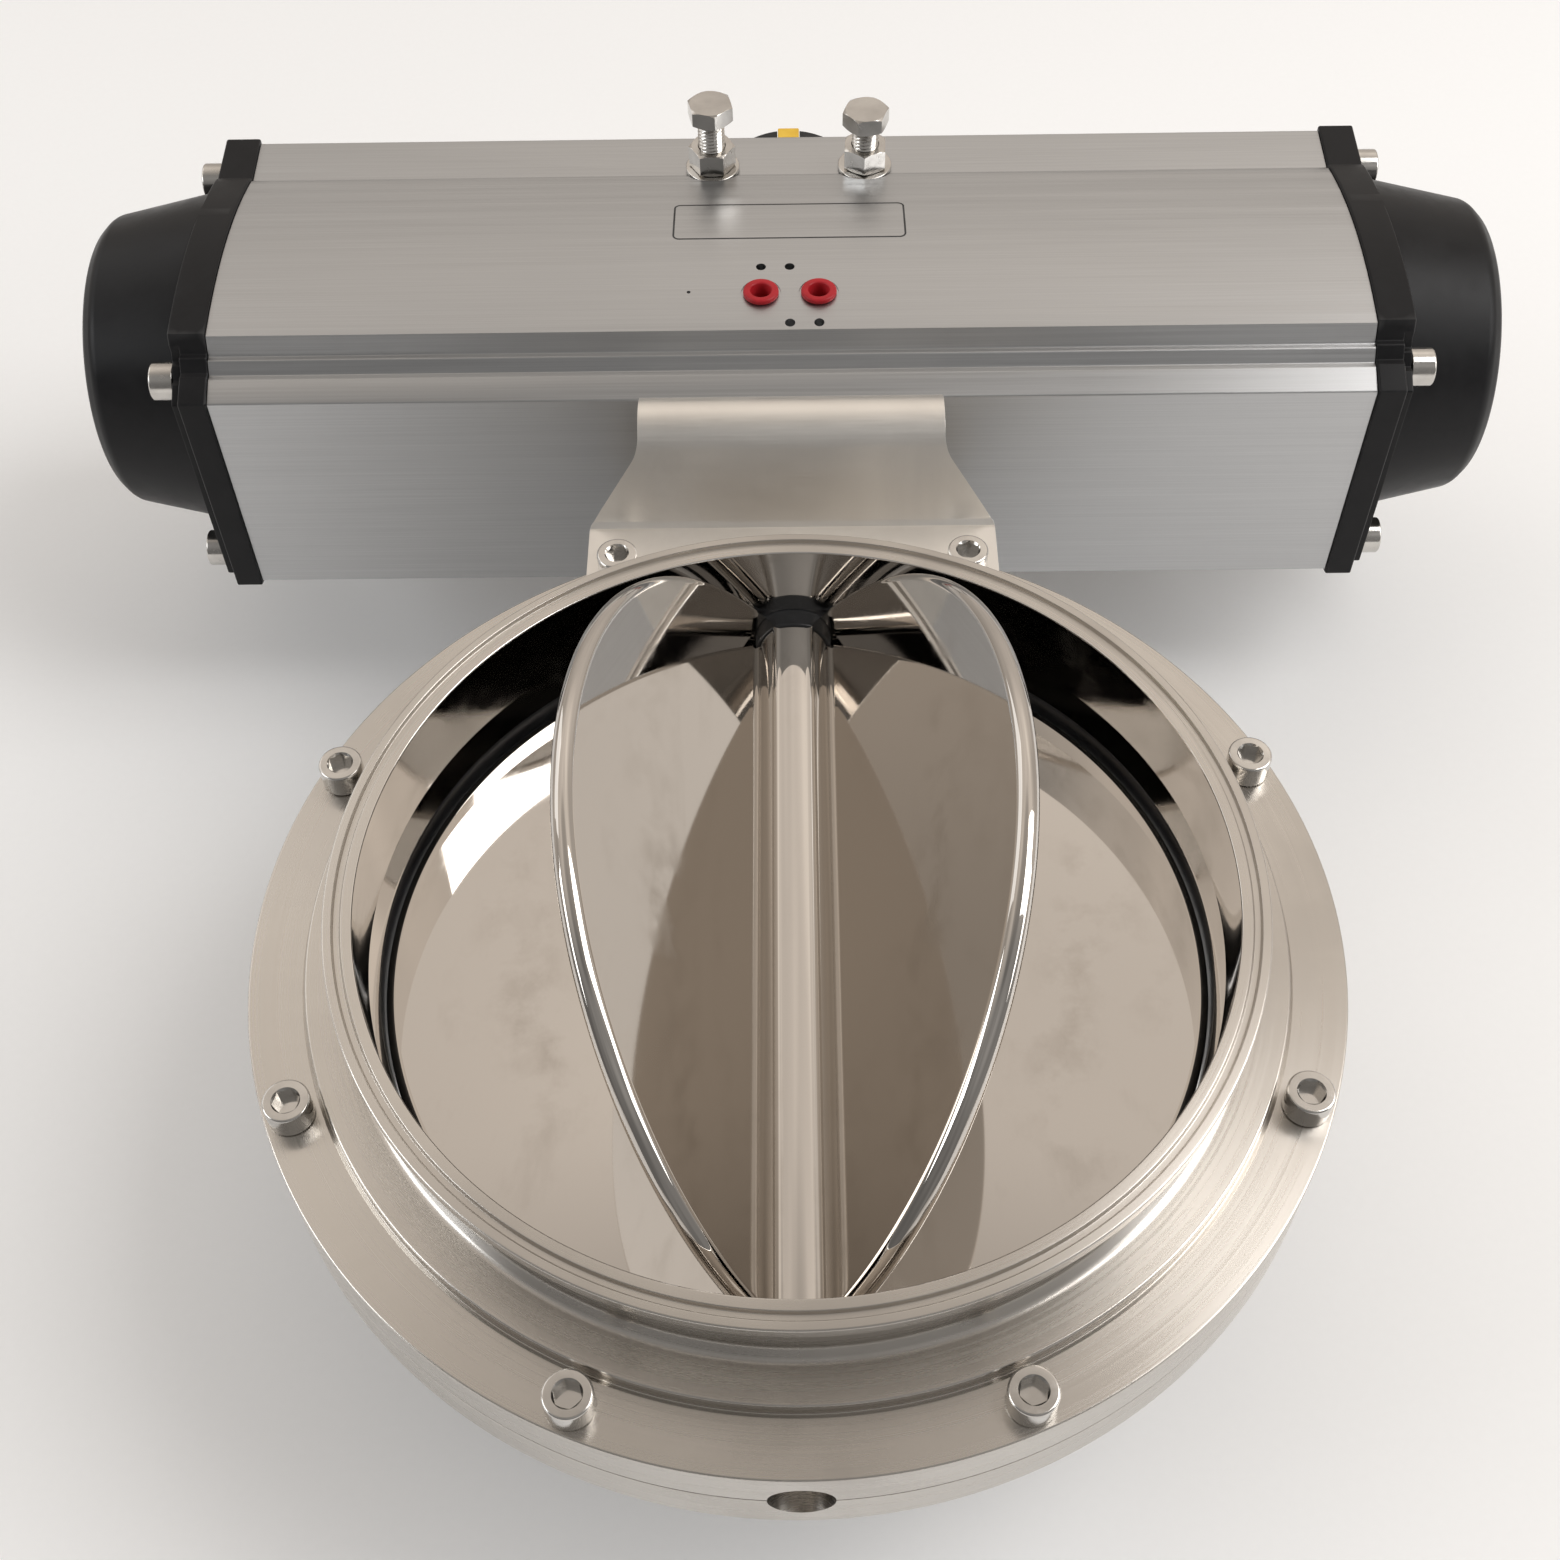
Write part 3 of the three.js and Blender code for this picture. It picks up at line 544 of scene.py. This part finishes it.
def make_seat():
    outline = [(SEAT_R, -8.6, 0), (SEAT_R + 0.4, -SEAT_Z, 0.4), (SEAT_OUTER_R, -SEAT_Z, 0.6),
               (SEAT_OUTER_R, SEAT_Z, 0.6), (SEAT_R + 0.4, SEAT_Z, 0.4), (SEAT_R, 8.6, 0)]
    ring = turned("rubber_seat", outline, "Z", 144 * FINE)
    collars = []
    for low, high in ((141.0, 159.7), (-159.7, -141.0)):
        outline = [(0, low, 0), (COLLAR_R, low, 1.2), (COLLAR_R, high, 1.2), (0, high, 0)]
        collars.append(turned("collar", outline, "Y", 48 * FINE))
    boolean(ring, collars, "UNION")
    bores = [rod("Y", UPPER_STEM_R + 0.6, 130, 170), rod("Y", LOWER_STEM_R + 0.6, -170, -130)]
    boolean(ring, bores, "DIFFERENCE")
    smooth(ring)
    settle(ring, "body", "seat_rubber", RUBBER, "seat_ring")


# ---------------------------------------------------------------- screws and nuts
def hexagon(across_flats):
    return circle(across_flats / math.sqrt(3), 6, math.pi / 6)


def cap_screw(head_r, head, socket, depth, shank_r, length):
    """A socket cap screw standing on z = 0, its shank below."""
    outline = [(0, -length, 0), (shank_r - 1, -length, 0), (shank_r, 1 - length, 0), (shank_r, 0, 0),
               (head_r, 0, 0.4), (head_r, head, 0.9), (0, head, 0)]
    screw = turned("screw", outline, "Z", 32 * FINE)
    lead_in = [(0, head - 0.9), (socket * 0.5, head - 0.9), (socket * 0.6, head + 0.1), (0, head + 0.1)]
    cuts = [prism("cutter", hexagon(socket), "Z", head - depth, head + 1),
            finished(lathe(lead_in, "Z", 32 * FINE), "cutter")]
    return bevelled(boolean(screw, cuts, "DIFFERENCE"), 0.15, 2, 50)


def hex_blank(across, thickness, hole_r):
    """A hexagon on z = 0 with turned chamfers, with a hole if hole_r isn't 0."""
    corner, flat = across / math.sqrt(3), across / 2
    rise = (corner - flat) * 0.55
    outline = [(hole_r, 0), (flat, 0), (corner + 0.1, rise), (corner + 0.1, thickness - rise),
               (flat, thickness), (hole_r, thickness)]
    chamfers = finished(lathe(outline, "Z", 48 * FINE), "cutter")
    blank = prism("hexagon", hexagon(across), "Z", 0, thickness)
    return bevelled(boolean(blank, [chamfers], "INTERSECT"), 0.12, 1, 25)


def thread(name, radius, low, high, pitch):
    """A rod along Z with real helical turns, fading out at both ends."""
    sides = 16 * FINE
    rows = int((high - low) / pitch * 6)
    bm = bmesh.new()
    loops = []
    for r in range(rows + 1):
        z = low + (high - low) * r / rows
        fade = max(0.0, min(1.0, (z - low) / pitch, (high - z) / pitch))
        loop = []
        for i in range(sides):
            wave = abs(2 * ((z / pitch - i / sides) % 1.0) - 1)
            size = radius - 0.55 * pitch * wave * fade
            angle = 2 * math.pi * i / sides
            loop.append(bm.verts.new((size * math.cos(angle), size * math.sin(angle), z)))
        loops.append(loop)
    for one, two in zip(loops, loops[1:]):
        for i in range(sides):
            k = (i + 1) % sides
            bm.faces.new((one[i], one[k], two[k], two[i]))
    bm.faces.new(loops[0])
    bm.faces.new(loops[-1])
    return finished(bm, name, 30)


def make_body_bolts():
    plain = cap_screw(*M10, 36.3)
    longer = cap_screw(*M10, 59.9)
    nut = hex_blank(16.0, 8.0, 5.1)
    spins = random.Random(5)
    for i in range(1, BOLT_COUNT + 1):
        on_tab = i in (1, BOLT_COUNT)
        x, y = bolt_place(i)
        spin = Matrix.Rotation(spins.uniform(0, math.pi), 4, "Z")
        place = Matrix.Translation((x, y, (TAB_TOP if on_tab else FLANGE_Z) + GAP)) @ spin
        screw = copy_of(longer if on_tab else plain, "body_cap_screw_%d" % i, place)
        settle(screw, "body", "stainless_fastener", FASTENER, "body_bolt_%d" % i)
    for number, i in ((1, 1), (2, BOLT_COUNT)):
        x, y = bolt_place(i)
        piece = copy_of(nut, "bracket_hex_nut_%d" % number, Matrix.Translation((x, y, -33.6)))
        settle(piece, "body", "stainless_fastener", FASTENER, "bracket_nut_%d" % number)
    for source in (plain, longer, nut):
        bpy.data.objects.remove(source)


# ---------------------------------------------------------------- rotor
RIM_ROUND = 3.95
ROOT_ROUND = 3.0


def vane_side():
    """Section of a wing's upper side as rim points (reach, z) and root points (x, z)."""
    half = VANE_T / 2
    steps = [k / 9 for k in range(10)]
    rim = [(VANE_R - RIM_ROUND * (1 - math.cos(math.pi / 2 * t)),
            half - RIM_ROUND * (1 - math.sin(math.pi / 2 * t))) for t in steps]
    centre_z = half + ROOT_ROUND
    centre_x = math.sqrt((HUB_R + ROOT_ROUND) ** 2 - centre_z ** 2)
    sweep = math.pi / 2 - math.atan2(centre_z, centre_x)
    root = [(centre_x - ROOT_ROUND * math.sin(sweep * t), centre_z - ROOT_ROUND * math.cos(sweep * t))
            for t in steps]
    root.append((root[-1][0] * 0.85, root[-1][1] * 0.85))
    return rim, root


def wing(name):
    """One wing on the +X side: a flat-faced half disc with a rounded rim and a fillet at the hub."""
    rows = 72 * FINE
    rim, root = vane_side()
    face_r = VANE_R - RIM_ROUND
    limit = math.acos(root[0][0] / face_r)
    bm = bmesh.new()
    loops = []
    for r in range(rows + 1):
        angle = limit * (2 * r / rows - 1)
        cos, sin = math.cos(angle), math.sin(angle)
        side = [(reach * cos, reach * sin, z) for reach, z in rim]
        side += [(x, face_r * sin, z) for x, z in root]
        loop = side + [(x, y, -z) for x, y, z in reversed(side)]
        loops.append([bm.verts.new(point) for point in loop])
    count = len(loops[0])
    for one, two in zip(loops, loops[1:]):
        for j in range(count):
            k = (j + 1) % count
            bm.faces.new((one[j], one[k], two[k], two[j]))
    bm.faces.new(loops[0])
    bm.faces.new(loops[-1])
    return finished(bm, name, 30)


def square(half):
    return [(-half, -half), (half, -half), (half, half), (-half, half)]


def make_rotor():
    hub = turned("hub_and_stems", [
        (0, -183, 0), (LOWER_STEM_R - 1, -183, 0), (LOWER_STEM_R, -182, 0), (LOWER_STEM_R, -HUB_END, 0),
        (HUB_R, -HUB_END, 1.5), (HUB_R, HUB_END, 1.5), (UPPER_STEM_R, HUB_END, 0), (UPPER_STEM_R, 196, 0.8),
        (0, 196, 0)], "Y", 64 * FINE)
    end = bevelled(prism("square", square(STEM_SQUARE / 2), "Y", 195.5, 214), 0.8)
    smooth(boolean(hub, [end], "UNION"))
    settle(hub, "rotor", "mirror_stainless", MIRROR, "rotor_hub")
    plate = wing("wing")
    for k in range(1, VANE_COUNT + 1):
        piece = copy_of(plate, "wing_%d" % k, Matrix.Rotation((k - 1) * math.pi / 3, 4, "Y"))
        settle(piece, "rotor", "mirror_stainless", MIRROR, "vane_%d" % k)
    bpy.data.objects.remove(plate)


def make_coupling():
    outline = [(0, 198, 0), (20, 198, 0.8), (20, 229, 0.8), (0, 229, 0)]
    sleeve = turned("drive_coupling", outline, "Y", 48 * FINE)
    boolean(sleeve, [bevelled(prism("square", square(11.0), "Y", 228, 262), 0.8)], "UNION")
    boolean(sleeve, [prism("cutter", square(STEM_SQUARE / 2 + 0.15), "Y", 190, 214.5)], "DIFFERENCE")
    smooth(sleeve)
    settle(sleeve, "rotor", "turned_stainless", TURNED_SHAFT, "coupling")


# ---------------------------------------------------------------- bracket
def sheet_line(inset):
    """Half of the folded sheet's outline from tab tip to the top, as (y, z), set in by inset."""
    centre_y = WEB_TOP - BEND_R
    run, drop = FOLD_Y - centre_y, TAB_TOP - BEND_Z
    slope = math.atan2(-drop, -run) + math.asin(BEND_R / math.hypot(run, drop))
    radius = BEND_R - inset
    face = TAB_TOP - inset
    touch_y = centre_y - radius * math.sin(slope)
    touch_z = BEND_Z + radius * math.cos(slope)
    fold = touch_y - (touch_z - face) / math.tan(slope)
    points = [(149.0, face), (fold - 3, face), (fold - 1, face - 0.2 * math.tan(slope))]
    points += [(fold + 1, face + 0.8 * math.tan(slope)), (fold + 3, face + 3 * math.tan(slope))]
    start = math.pi / 2 + slope
    steps = 12 * FINE
    for k in range(steps + 1):
        angle = start * (1 - k / steps)
        points.append((centre_y + radius * math.cos(angle), BEND_Z + radius * math.sin(angle)))
    return points


def make_bracket():
    outer, inner = sheet_line(0), sheet_line(SHEET)
    section = outer + [(y, -z) for y, z in reversed(outer)] + [(y, -z) for y, z in inner] + inner[::-1]
    sheet = prism("folded_bracket", section, "X", -TAB_HALF_WIDTH, TAB_HALF_WIDTH)
    plan = [(-TAB_HALF_WIDTH, 140, 0), (TAB_HALF_WIDTH, 140, 0), (TAB_HALF_WIDTH, FOLD_Y, 3),
            (WEB_HALF_WIDTH, 206, 6), (WEB_HALF_WIDTH, 245, 0), (-WEB_HALF_WIDTH, 245, 0),
            (-WEB_HALF_WIDTH, 206, 6), (-TAB_HALF_WIDTH, FOLD_Y, 3)]
    boolean(sheet, [prism("cutter", rounded(plan, 6), "Z", -80, 80)], "INTERSECT")
    cuts = [rod("Z", BOSS_R + 1.3, -40, 40, sides=144 * FINE), rod("Y", 27, 220, 240)]
    cuts += [rod("Z", M10_HOLE, -40, 40, (*bolt_place(i), 0)) for i in (1, BOLT_COUNT)]
    cuts += [rod("Y", M10_HOLE, 220, 240, (x, 0, z)) for x, z in square(F10)]
    bevelled(boolean(sheet, cuts, "DIFFERENCE"), 0.5, 2, 50)
    settle(sheet, "body", "sheet_stainless", SHEET_METAL, "bracket")
    screw = cap_screw(*M10, 24.0)
    places = [(F10, F10), (-F10, F10), (-F10, -F10), (F10, -F10)]
    for i, (x, z) in enumerate(places):
        upright = Matrix.Translation((x, WEB_TOP - SHEET - GAP, z)) @ Matrix.Rotation(math.pi / 2, 4, "X")
        piece = copy_of(screw, "actuator_cap_screw_%d" % (i + 1), upright)
        settle(piece, "body", "stainless_fastener", FASTENER, "actuator_bolt_%d" % (i + 1))
    bpy.data.objects.remove(screw)


# ---------------------------------------------------------------- actuator
def bow(y):
    """How far the housing's bowed side stands out at height y."""
    return 74 - 0.0021 * (y - 300) ** 2


def extrusion_side():
    """Half of the housing's section on the +Z side, from foot to top, as (y, z, corner radius)."""
    points = [(HOUSING_BOTTOM, 53.0, 1.0), (247, 57.5, 1.0), (249.5, 57.5, 0.8), (253, 62.5, 1.2),
              (255.5, 62.5, 1.0)]
    for k in range(0, 29):
        y = 259 + 4 * k
        points.append((y, bow(y), 0))
    return points + [(373.5, 61.6, 1.5), (HOUSING_TOP, 63.0, 1.5)]


def extrusion(grow=0.0):
    """The housing's closed section, made larger all round by grow."""
    side = [(y, z + grow, r) for y, z, r in extrusion_side()]
    side[0] = (HOUSING_BOTTOM - grow, side[0][1], side[0][2])
    side[-1] = (HOUSING_TOP + grow, side[-1][1], side[-1][2])
    return rounded(side + [(y, -z, r) for y, z, r in reversed(side)], 4)


def make_housing():
    """The extrusion with its cylinder, screw holes, air ports and a small mark beside them."""
    housing = prism("housing_extrusion", extrusion(), "X", -HOUSING_HALF, HOUSING_HALF)
    cuts = [rod("X", CYLINDER_R, -250, 250, (0, CYLINDER_Y, 0), 96),
            rod("Y", 28, 230, 270), rod("Y", 21, 370, 405), rod("Y", 42.5, 363, 385.5)]
    for y, z in CAP_BOLT_PLACES:
        for low, high in ((-245, -210), (210, 245)):
            cuts.append(rod("X", 5.2, low, high, (0, y, z), 24))
    for x in (-STOP_X, STOP_X):
        cuts.append(rod("Z", 6.5, 5, 80, (x, STOP_Y, 0)))
        cuts.append(rod("Z", 13, STOP_FACE_Z, 80, (x, STOP_Y, 0)))
    for x in (-PORT_X, PORT_X):
        cuts.append(rod("Z", 6, 55, 80, (x, PORT_Y, 0)))
        cuts.append(rod("Z", 8.4, PORT_FACE_Z, 80, (x, PORT_Y, 0)))
    for x, y in ((-PORT_X, 16), (0, 16), (0, -16), (PORT_X, -16)):
        cuts.append(rod("Z", 2.1, 64, 80, (x, PORT_Y + y, 0), 24))
    cuts += [rod("Y", M10_HOLE, 230, 257, (x, 0, z), 24) for x, z in square(F10)]
    cuts.append(rod("Z", 0.8, 71, 80, (-42.0, 279.9, 0), 16))
    boolean(housing, cuts, "DIFFERENCE")
    bevelled(housing, 0.35, 2, 50)
    settle(housing, "body", "anodised_aluminium", ALUMINIUM, "actuator_housing")


def end_cap():
    """The +X cap: a plate stepped in along its foot and a hollow tapered dome, with eased edges."""
    face = CAP_START + CAP_PLATE
    plate = prism("cap", extrusion(1.5), "X", CAP_START, CAP_START + CAP_STEP)
    bevelled(plate, 0.9, 3, 60)
    upper = prism("upper", extrusion(1.5), "X", CAP_START + 2, face)
    boolean(upper, [block((200, HOUSING_BOTTOM - 5, -90), (face + 1, 257, 90))], "DIFFERENCE")
    bevelled(upper, 0.9, 3, 60)
    inner = prism("inner", extrusion(-CAP_INSET), "X", CAP_START + 1, face)
    bevelled(inner, 0.7, 2, 60)
    outline = [(0, CAP_START + 2, 0), (DOME_R, CAP_START + 2, 0), (DOME_R, face, 0),
               (DOME_END_R, CAP_END - 6, 8), (DOME_END_R - 6, CAP_END, 8), (0, CAP_END, 0)]
    centre = (0, DOME_Y, 0)
    dome = turned("dome", outline, "X", 96 * FINE, centre, 8)
    boolean(plate, [upper, inner, dome], "UNION")
    hollow = [(0, CAP_START - 1), (54, CAP_START - 1), (50, CAP_END - 12), (0, CAP_END - 12)]
    cuts = [finished(lathe(hollow, "X", 96, centre), "cutter")]
    for y, z in CAP_BOLT_PLACES:
        cuts.append(rod("X", M10_HOLE, CAP_START - 1, face + 1, (0, y, z), 32))
        cuts.append(rod("X", 9.2, face, CAP_END, (0, y, z), 64))
    boolean(plate, cuts, "DIFFERENCE")
    smooth(plate)
    return plate


def make_caps():
    """Both end caps and their screws, the left one turned half round."""
    cap = end_cap()
    screw = cap_screw(*M10, 36.0)
    sideways = Matrix.Rotation(math.pi / 2, 4, "Y")
    spins = random.Random(11)
    for side, turn in (("right", Matrix.Identity(4)), ("left", HALF_TURN)):
        piece = copy_of(cap, side + "_cap", turn)
        settle(piece, "body", "black_paint", BLACK, side + "_end_cap")
        for i, (y, z) in enumerate(CAP_BOLT_PLACES):
            seat = Matrix.Translation((CAP_START + CAP_PLATE + GAP, y, z))
            spin = Matrix.Rotation(spins.uniform(0, math.pi), 4, "Z")
            piece = copy_of(screw, "%s_cap_screw_%d" % (side, i + 1), turn @ seat @ sideways @ spin)
            settle(piece, "body", "stainless_fastener", FASTENER, "%s_cap_bolt_%d" % (side, i + 1))
    bpy.data.objects.remove(cap)
    bpy.data.objects.remove(screw)


def make_stops():
    """The two travel-stop screws with their lock nuts and sealing washers."""
    nut = hex_blank(18.0, 10.0, 6.2)
    washer = turned("washer", [(6.4, 0, 0.3), (12, 0, 0.5), (12, 2, 0.5), (6.4, 2, 0.3)], "Z", 48 * FINE)
    for number, x, head_z, spin in ((1, -STOP_X, 88.5, 0.22), (2, STOP_X, 84.5, -0.35)):
        head = baked(hex_blank(18.0, 7.5, 0), Matrix.Translation((0, 0, head_z)))
        piece = joined("travel_stop_%d" % number, thread("shank", 6.0, 9.5, head_z + 0.5, 1.75), head)
        baked(piece, Matrix.Translation((x, STOP_Y, 0)) @ Matrix.Rotation(spin, 4, "Z"))
        settle(piece, "body", "stainless_fastener", FASTENER, "stop_bolt_%d" % number)
        place = Matrix.Translation((x, STOP_Y, 64.6)) @ Matrix.Rotation(spin + 0.3, 4, "Z")
        piece = copy_of(nut, "travel_stop_nut_%d" % number, place)
        settle(piece, "body", "stainless_fastener", FASTENER, "lock_nut_%d" % number)
        piece = copy_of(washer, "travel_stop_washer_%d" % number, Matrix.Translation((x, STOP_Y, 62.3)))
        settle(piece, "body", "stainless_fastener", FASTENER, "stop_washer_%d" % number)
    for source in (nut, washer):
        bpy.data.objects.remove(source)


def make_plugs():
    """The soft plugs in the two air ports: a rounded collar round a stepped hollow."""
    face = PORT_FACE_Z + GAP
    outline = [(3.4, 58, 0), (5.6, 58, 0.4), (5.6, face, 0), (7.4, face, 0.3), (7.4, face + 2.1, 1.4),
               (4.4, face + 2.1, 0.9), (3.9, face - 2.5, 0.5)]
    plug = turned("plug", outline, "Z", 48 * FINE)
    floor = turned("floor", [(0, 62, 0), (4.2, 62, 0), (4.2, 64, 0), (0, 64, 0)], "Z", 24)
    boolean(plug, [floor], "UNION")
    smooth(plug)
    for side, x in (("left", -PORT_X), ("right", PORT_X)):
        piece = copy_of(plug, side + "_plug", Matrix.Translation((x, PORT_Y, 0)))
        settle(piece, "body", "red_plastic", RED, side + "_port_plug")
    bpy.data.objects.remove(plug)


def make_indicator():
    """The black position knob and the yellow bar let into its end."""
    outline = [(0, 406, 0), (36.5, 406, 0.5), (38, 409, 1), (38, 440, 0.8), (0, 440, 0)]
    knob = turned("indicator_knob", outline, "Y", 64 * FINE)
    cuts = [block((-5.3, 433, -40), (5.3, 445, 40)), rod("Y", 22, 400, 414)]
    boolean(knob, cuts, "DIFFERENCE")
    bevelled(knob, 0.4, 2, 50)
    settle(knob, "rotor", "black_plastic", BLACK_PLASTIC, "position_indicator")
    bar = block((-5.0, 433.3, -38.6), (5.0, 440.6, 38.6))
    bar.name = "indicator_bar"
    bevelled(bar, 0.5, 2, 50)
    settle(bar, "rotor", "yellow_plastic", YELLOW, "indicator_pointer")


# A blank sticker: the wording on the real one is left out.
PRINT_LIFT = 0.04
LABEL = {"x": (-49.8, 49.8), "y": (313.5, 341.0), "corner": 3.0, "line": 0.8, "steps": 8}


def make_label():
    """The sticker's printed outline, following the housing's bowed side."""
    (x0, x1), (y0, y1) = LABEL["x"], LABEL["y"]
    bm = bmesh.new()
    loops = []
    rises = [y0 + (y1 - y0) * k / LABEL["steps"] for k in range(2, LABEL["steps"] - 1)]
    for inset in (0.0, LABEL["line"]):
        r = LABEL["corner"] - inset
        low, high, near, far = y0 + inset, y1 - inset, x0 + inset, x1 - inset
        corners = [(near, low, r), (far, low, r)] + [(far, y, 0) for y in rises]
        corners += [(far, high, r), (near, high, r)] + [(near, y, 0) for y in reversed(rises)]
        loops.append([bm.verts.new((x, y, bow(y) + PRINT_LIFT)) for x, y in rounded(corners, 8)])
    count = len(loops[0])
    for i in range(count):
        k = (i + 1) % count
        bm.faces.new((loops[0][i], loops[0][k], loops[1][k], loops[1][i]))
    outline = finished(bm, "label_outline")
    settle(outline, "body", "black_paint", PRINT)


def dress_hidden_nodes():
    """Inner CAD pieces that stay as they are get their own surfaces."""
    finishes = [(BRONZE, "upper_stem_bush lower_stem_bush upper_pinion_bush lower_pinion_bush"),
                (ALLOY, "left_piston right_piston"), (STEEL, "pinion stop_cam snap_ring"),
                (RUBBER, "upper_stem_oring left_piston_ring right_piston_ring")]
    for material, names in finishes:
        for name in names.split():
            mesh = NODES[name].data
            mesh.materials.clear()
            mesh.materials.append(material)


TURNED_SHAFT = turned_steel("turned_shaft", "Y", 0.2)
PRINT = moulded("label_print", (0.03, 0.03, 0.03), (0.06, 0.06, 0.06), 0.6)

make_body()
make_seat()
make_body_bolts()
make_rotor()
make_coupling()
make_bracket()
make_housing()
make_caps()
make_stops()
make_plugs()
make_indicator()
make_label()
dress_hidden_nodes()


# ---------------------------------------------------------------- stage
FLOOR_Z = -0.1288                  # metres, just under the lowest vane tips


def make_floor():
    """A wide plain floor of pale paper."""
    bpy.ops.mesh.primitive_plane_add(size=12.0, location=(0, 0, FLOOR_Z))
    floor = bpy.context.object
    floor.name = "floor"
    paper = Surface("floor_paper", (0.93, 0.935, 0.94), 0.0, 0.8)
    fibre = paper.noise(paper.place, 300.0, 2.0)
    paper.colour(paper.mix(fibre, (0.925, 0.93, 0.935), (0.945, 0.95, 0.955)))
    floor.data.materials.append(paper.material)


def soft_box(name, place, size, power, colour):
    """A rectangular lamp aimed at the valve's origin."""
    light = bpy.data.lights.new(name, "AREA")
    light.shape = "RECTANGLE"
    light.size, light.size_y = size
    light.energy = power
    light.color = colour
    obj = bpy.data.objects.new(name, light)
    bpy.context.scene.collection.objects.link(obj)
    obj.location = place
    obj.rotation_mode = "QUATERNION"
    obj.rotation_quaternion = (-Vector(place)).to_track_quat("-Z", "Y")


# Each line: from, to, value there, value there.
WORLD_DEPTH = (-0.4, 0.35, 0.0, 1.0)            # Y, towards the warm end
WORLD_SIDE = (-0.9, 0.8, 0.9, 1.15)             # X, brightness
WORLD_CLUTTER = (0.35, 0.65, 0.85, 1.15)
WORLD_CEILING = (0.88, 0.95, 1.0, 0.62)         # Z, brightness
WORLD_WALL = (0.45, 0.78, 0.62, 1.0)            # Z, brightness low down
WORLD_FRONT = (0.36, 0.35, 0.34, 1)             # behind the camera
WORLD_BACK = (0.93, 0.845, 0.76, 1)             # beyond the actuator


def make_world():
    """A softly lit room: warm behind the object, cooler behind the camera, with a dim ceiling."""
    world = bpy.data.worlds.new("room")
    bpy.context.scene.world = world
    world.use_nodes = True
    tree = world.node_tree

    def ranged(value, numbers):
        made = tree.nodes.new("ShaderNodeMapRange")
        made.interpolation_type = "SMOOTHSTEP"
        for socket, number in zip((1, 2, 3, 4), numbers):
            made.inputs[socket].default_value = number
        tree.links.new(value, made.inputs[0])
        return made.outputs[0]

    def product(one, two):
        made = tree.nodes.new("ShaderNodeMath")
        made.operation = "MULTIPLY"
        tree.links.new(one, made.inputs[0])
        tree.links.new(two, made.inputs[1])
        return made.outputs[0]

    place = tree.nodes.new("ShaderNodeTexCoord").outputs["Generated"]
    split = tree.nodes.new("ShaderNodeSeparateXYZ")
    tree.links.new(place, split.inputs[0])
    tint = tree.nodes.new("ShaderNodeMix")
    tint.data_type = "RGBA"
    tint.inputs[6].default_value = WORLD_FRONT
    tint.inputs[7].default_value = WORLD_BACK
    tree.links.new(ranged(split.outputs["Y"], WORLD_DEPTH), tint.inputs[0])
    clutter = tree.nodes.new("ShaderNodeTexNoise")
    clutter.inputs["Scale"].default_value = 1.7
    clutter.inputs["Detail"].default_value = 2.0
    tree.links.new(place, clutter.inputs["Vector"])
    level = product(ranged(split.outputs["X"], WORLD_SIDE), ranged(clutter.outputs[0], WORLD_CLUTTER))
    level = product(level, ranged(split.outputs["Z"], WORLD_CEILING))
    level = product(level, ranged(split.outputs["Z"], WORLD_WALL))
    shader = tree.nodes["Background"]
    tree.links.new(tint.outputs[2], shader.inputs["Color"])
    tree.links.new(level, shader.inputs["Strength"])


CAMERA_SENSOR, CAMERA_LENS = 36.0, 46.14
CAMERA_PLACE = (0.38, -378.9, 615.7)
CAMERA_FORWARD = (-0.00783, 0.59881, -0.80086)
CAMERA_RIGHT = (0.9999, -0.0050, -0.0100)


def make_camera():
    """Looks down the bore from in front of the valve, with the actuator at the top of the view."""
    camera = bpy.data.cameras.new("camera")
    camera.sensor_width = CAMERA_SENSOR
    camera.lens = CAMERA_LENS
    obj = bpy.data.objects.new("camera", camera)
    bpy.context.scene.collection.objects.link(obj)
    forward = Vector(CAMERA_FORWARD).normalized()
    right = Vector(CAMERA_RIGHT)
    right = (right - forward * right.dot(forward)).normalized()
    up = right.cross(forward)
    turn = Matrix((right, up, -forward)).transposed()
    obj.matrix_world = Matrix.Translation(Vector(CAMERA_PLACE) * MM) @ turn.to_4x4()
    camera.clip_start, camera.clip_end = 0.05, 20.0
    bpy.context.scene.camera = obj


make_floor()
make_world()
soft_box("right_window", (1.55, 0.15, 1.85), (1.1, 1.6), 24, (1.0, 0.99, 0.98))
soft_box("left_window", (-1.7, 1.2, 1.25), (1.3, 1.3), 4.5, (0.97, 0.985, 1.0))
soft_box("left_fill", (-2.6, -0.4, 1.3), (1.6, 1.0), 23, (0.96, 0.98, 1.0))
soft_box("right_fill", (2.6, -0.4, 1.3), (1.6, 1.0), 20, (1.0, 0.99, 0.98))
make_camera()
bpy.context.scene.view_settings.view_transform = "Standard"
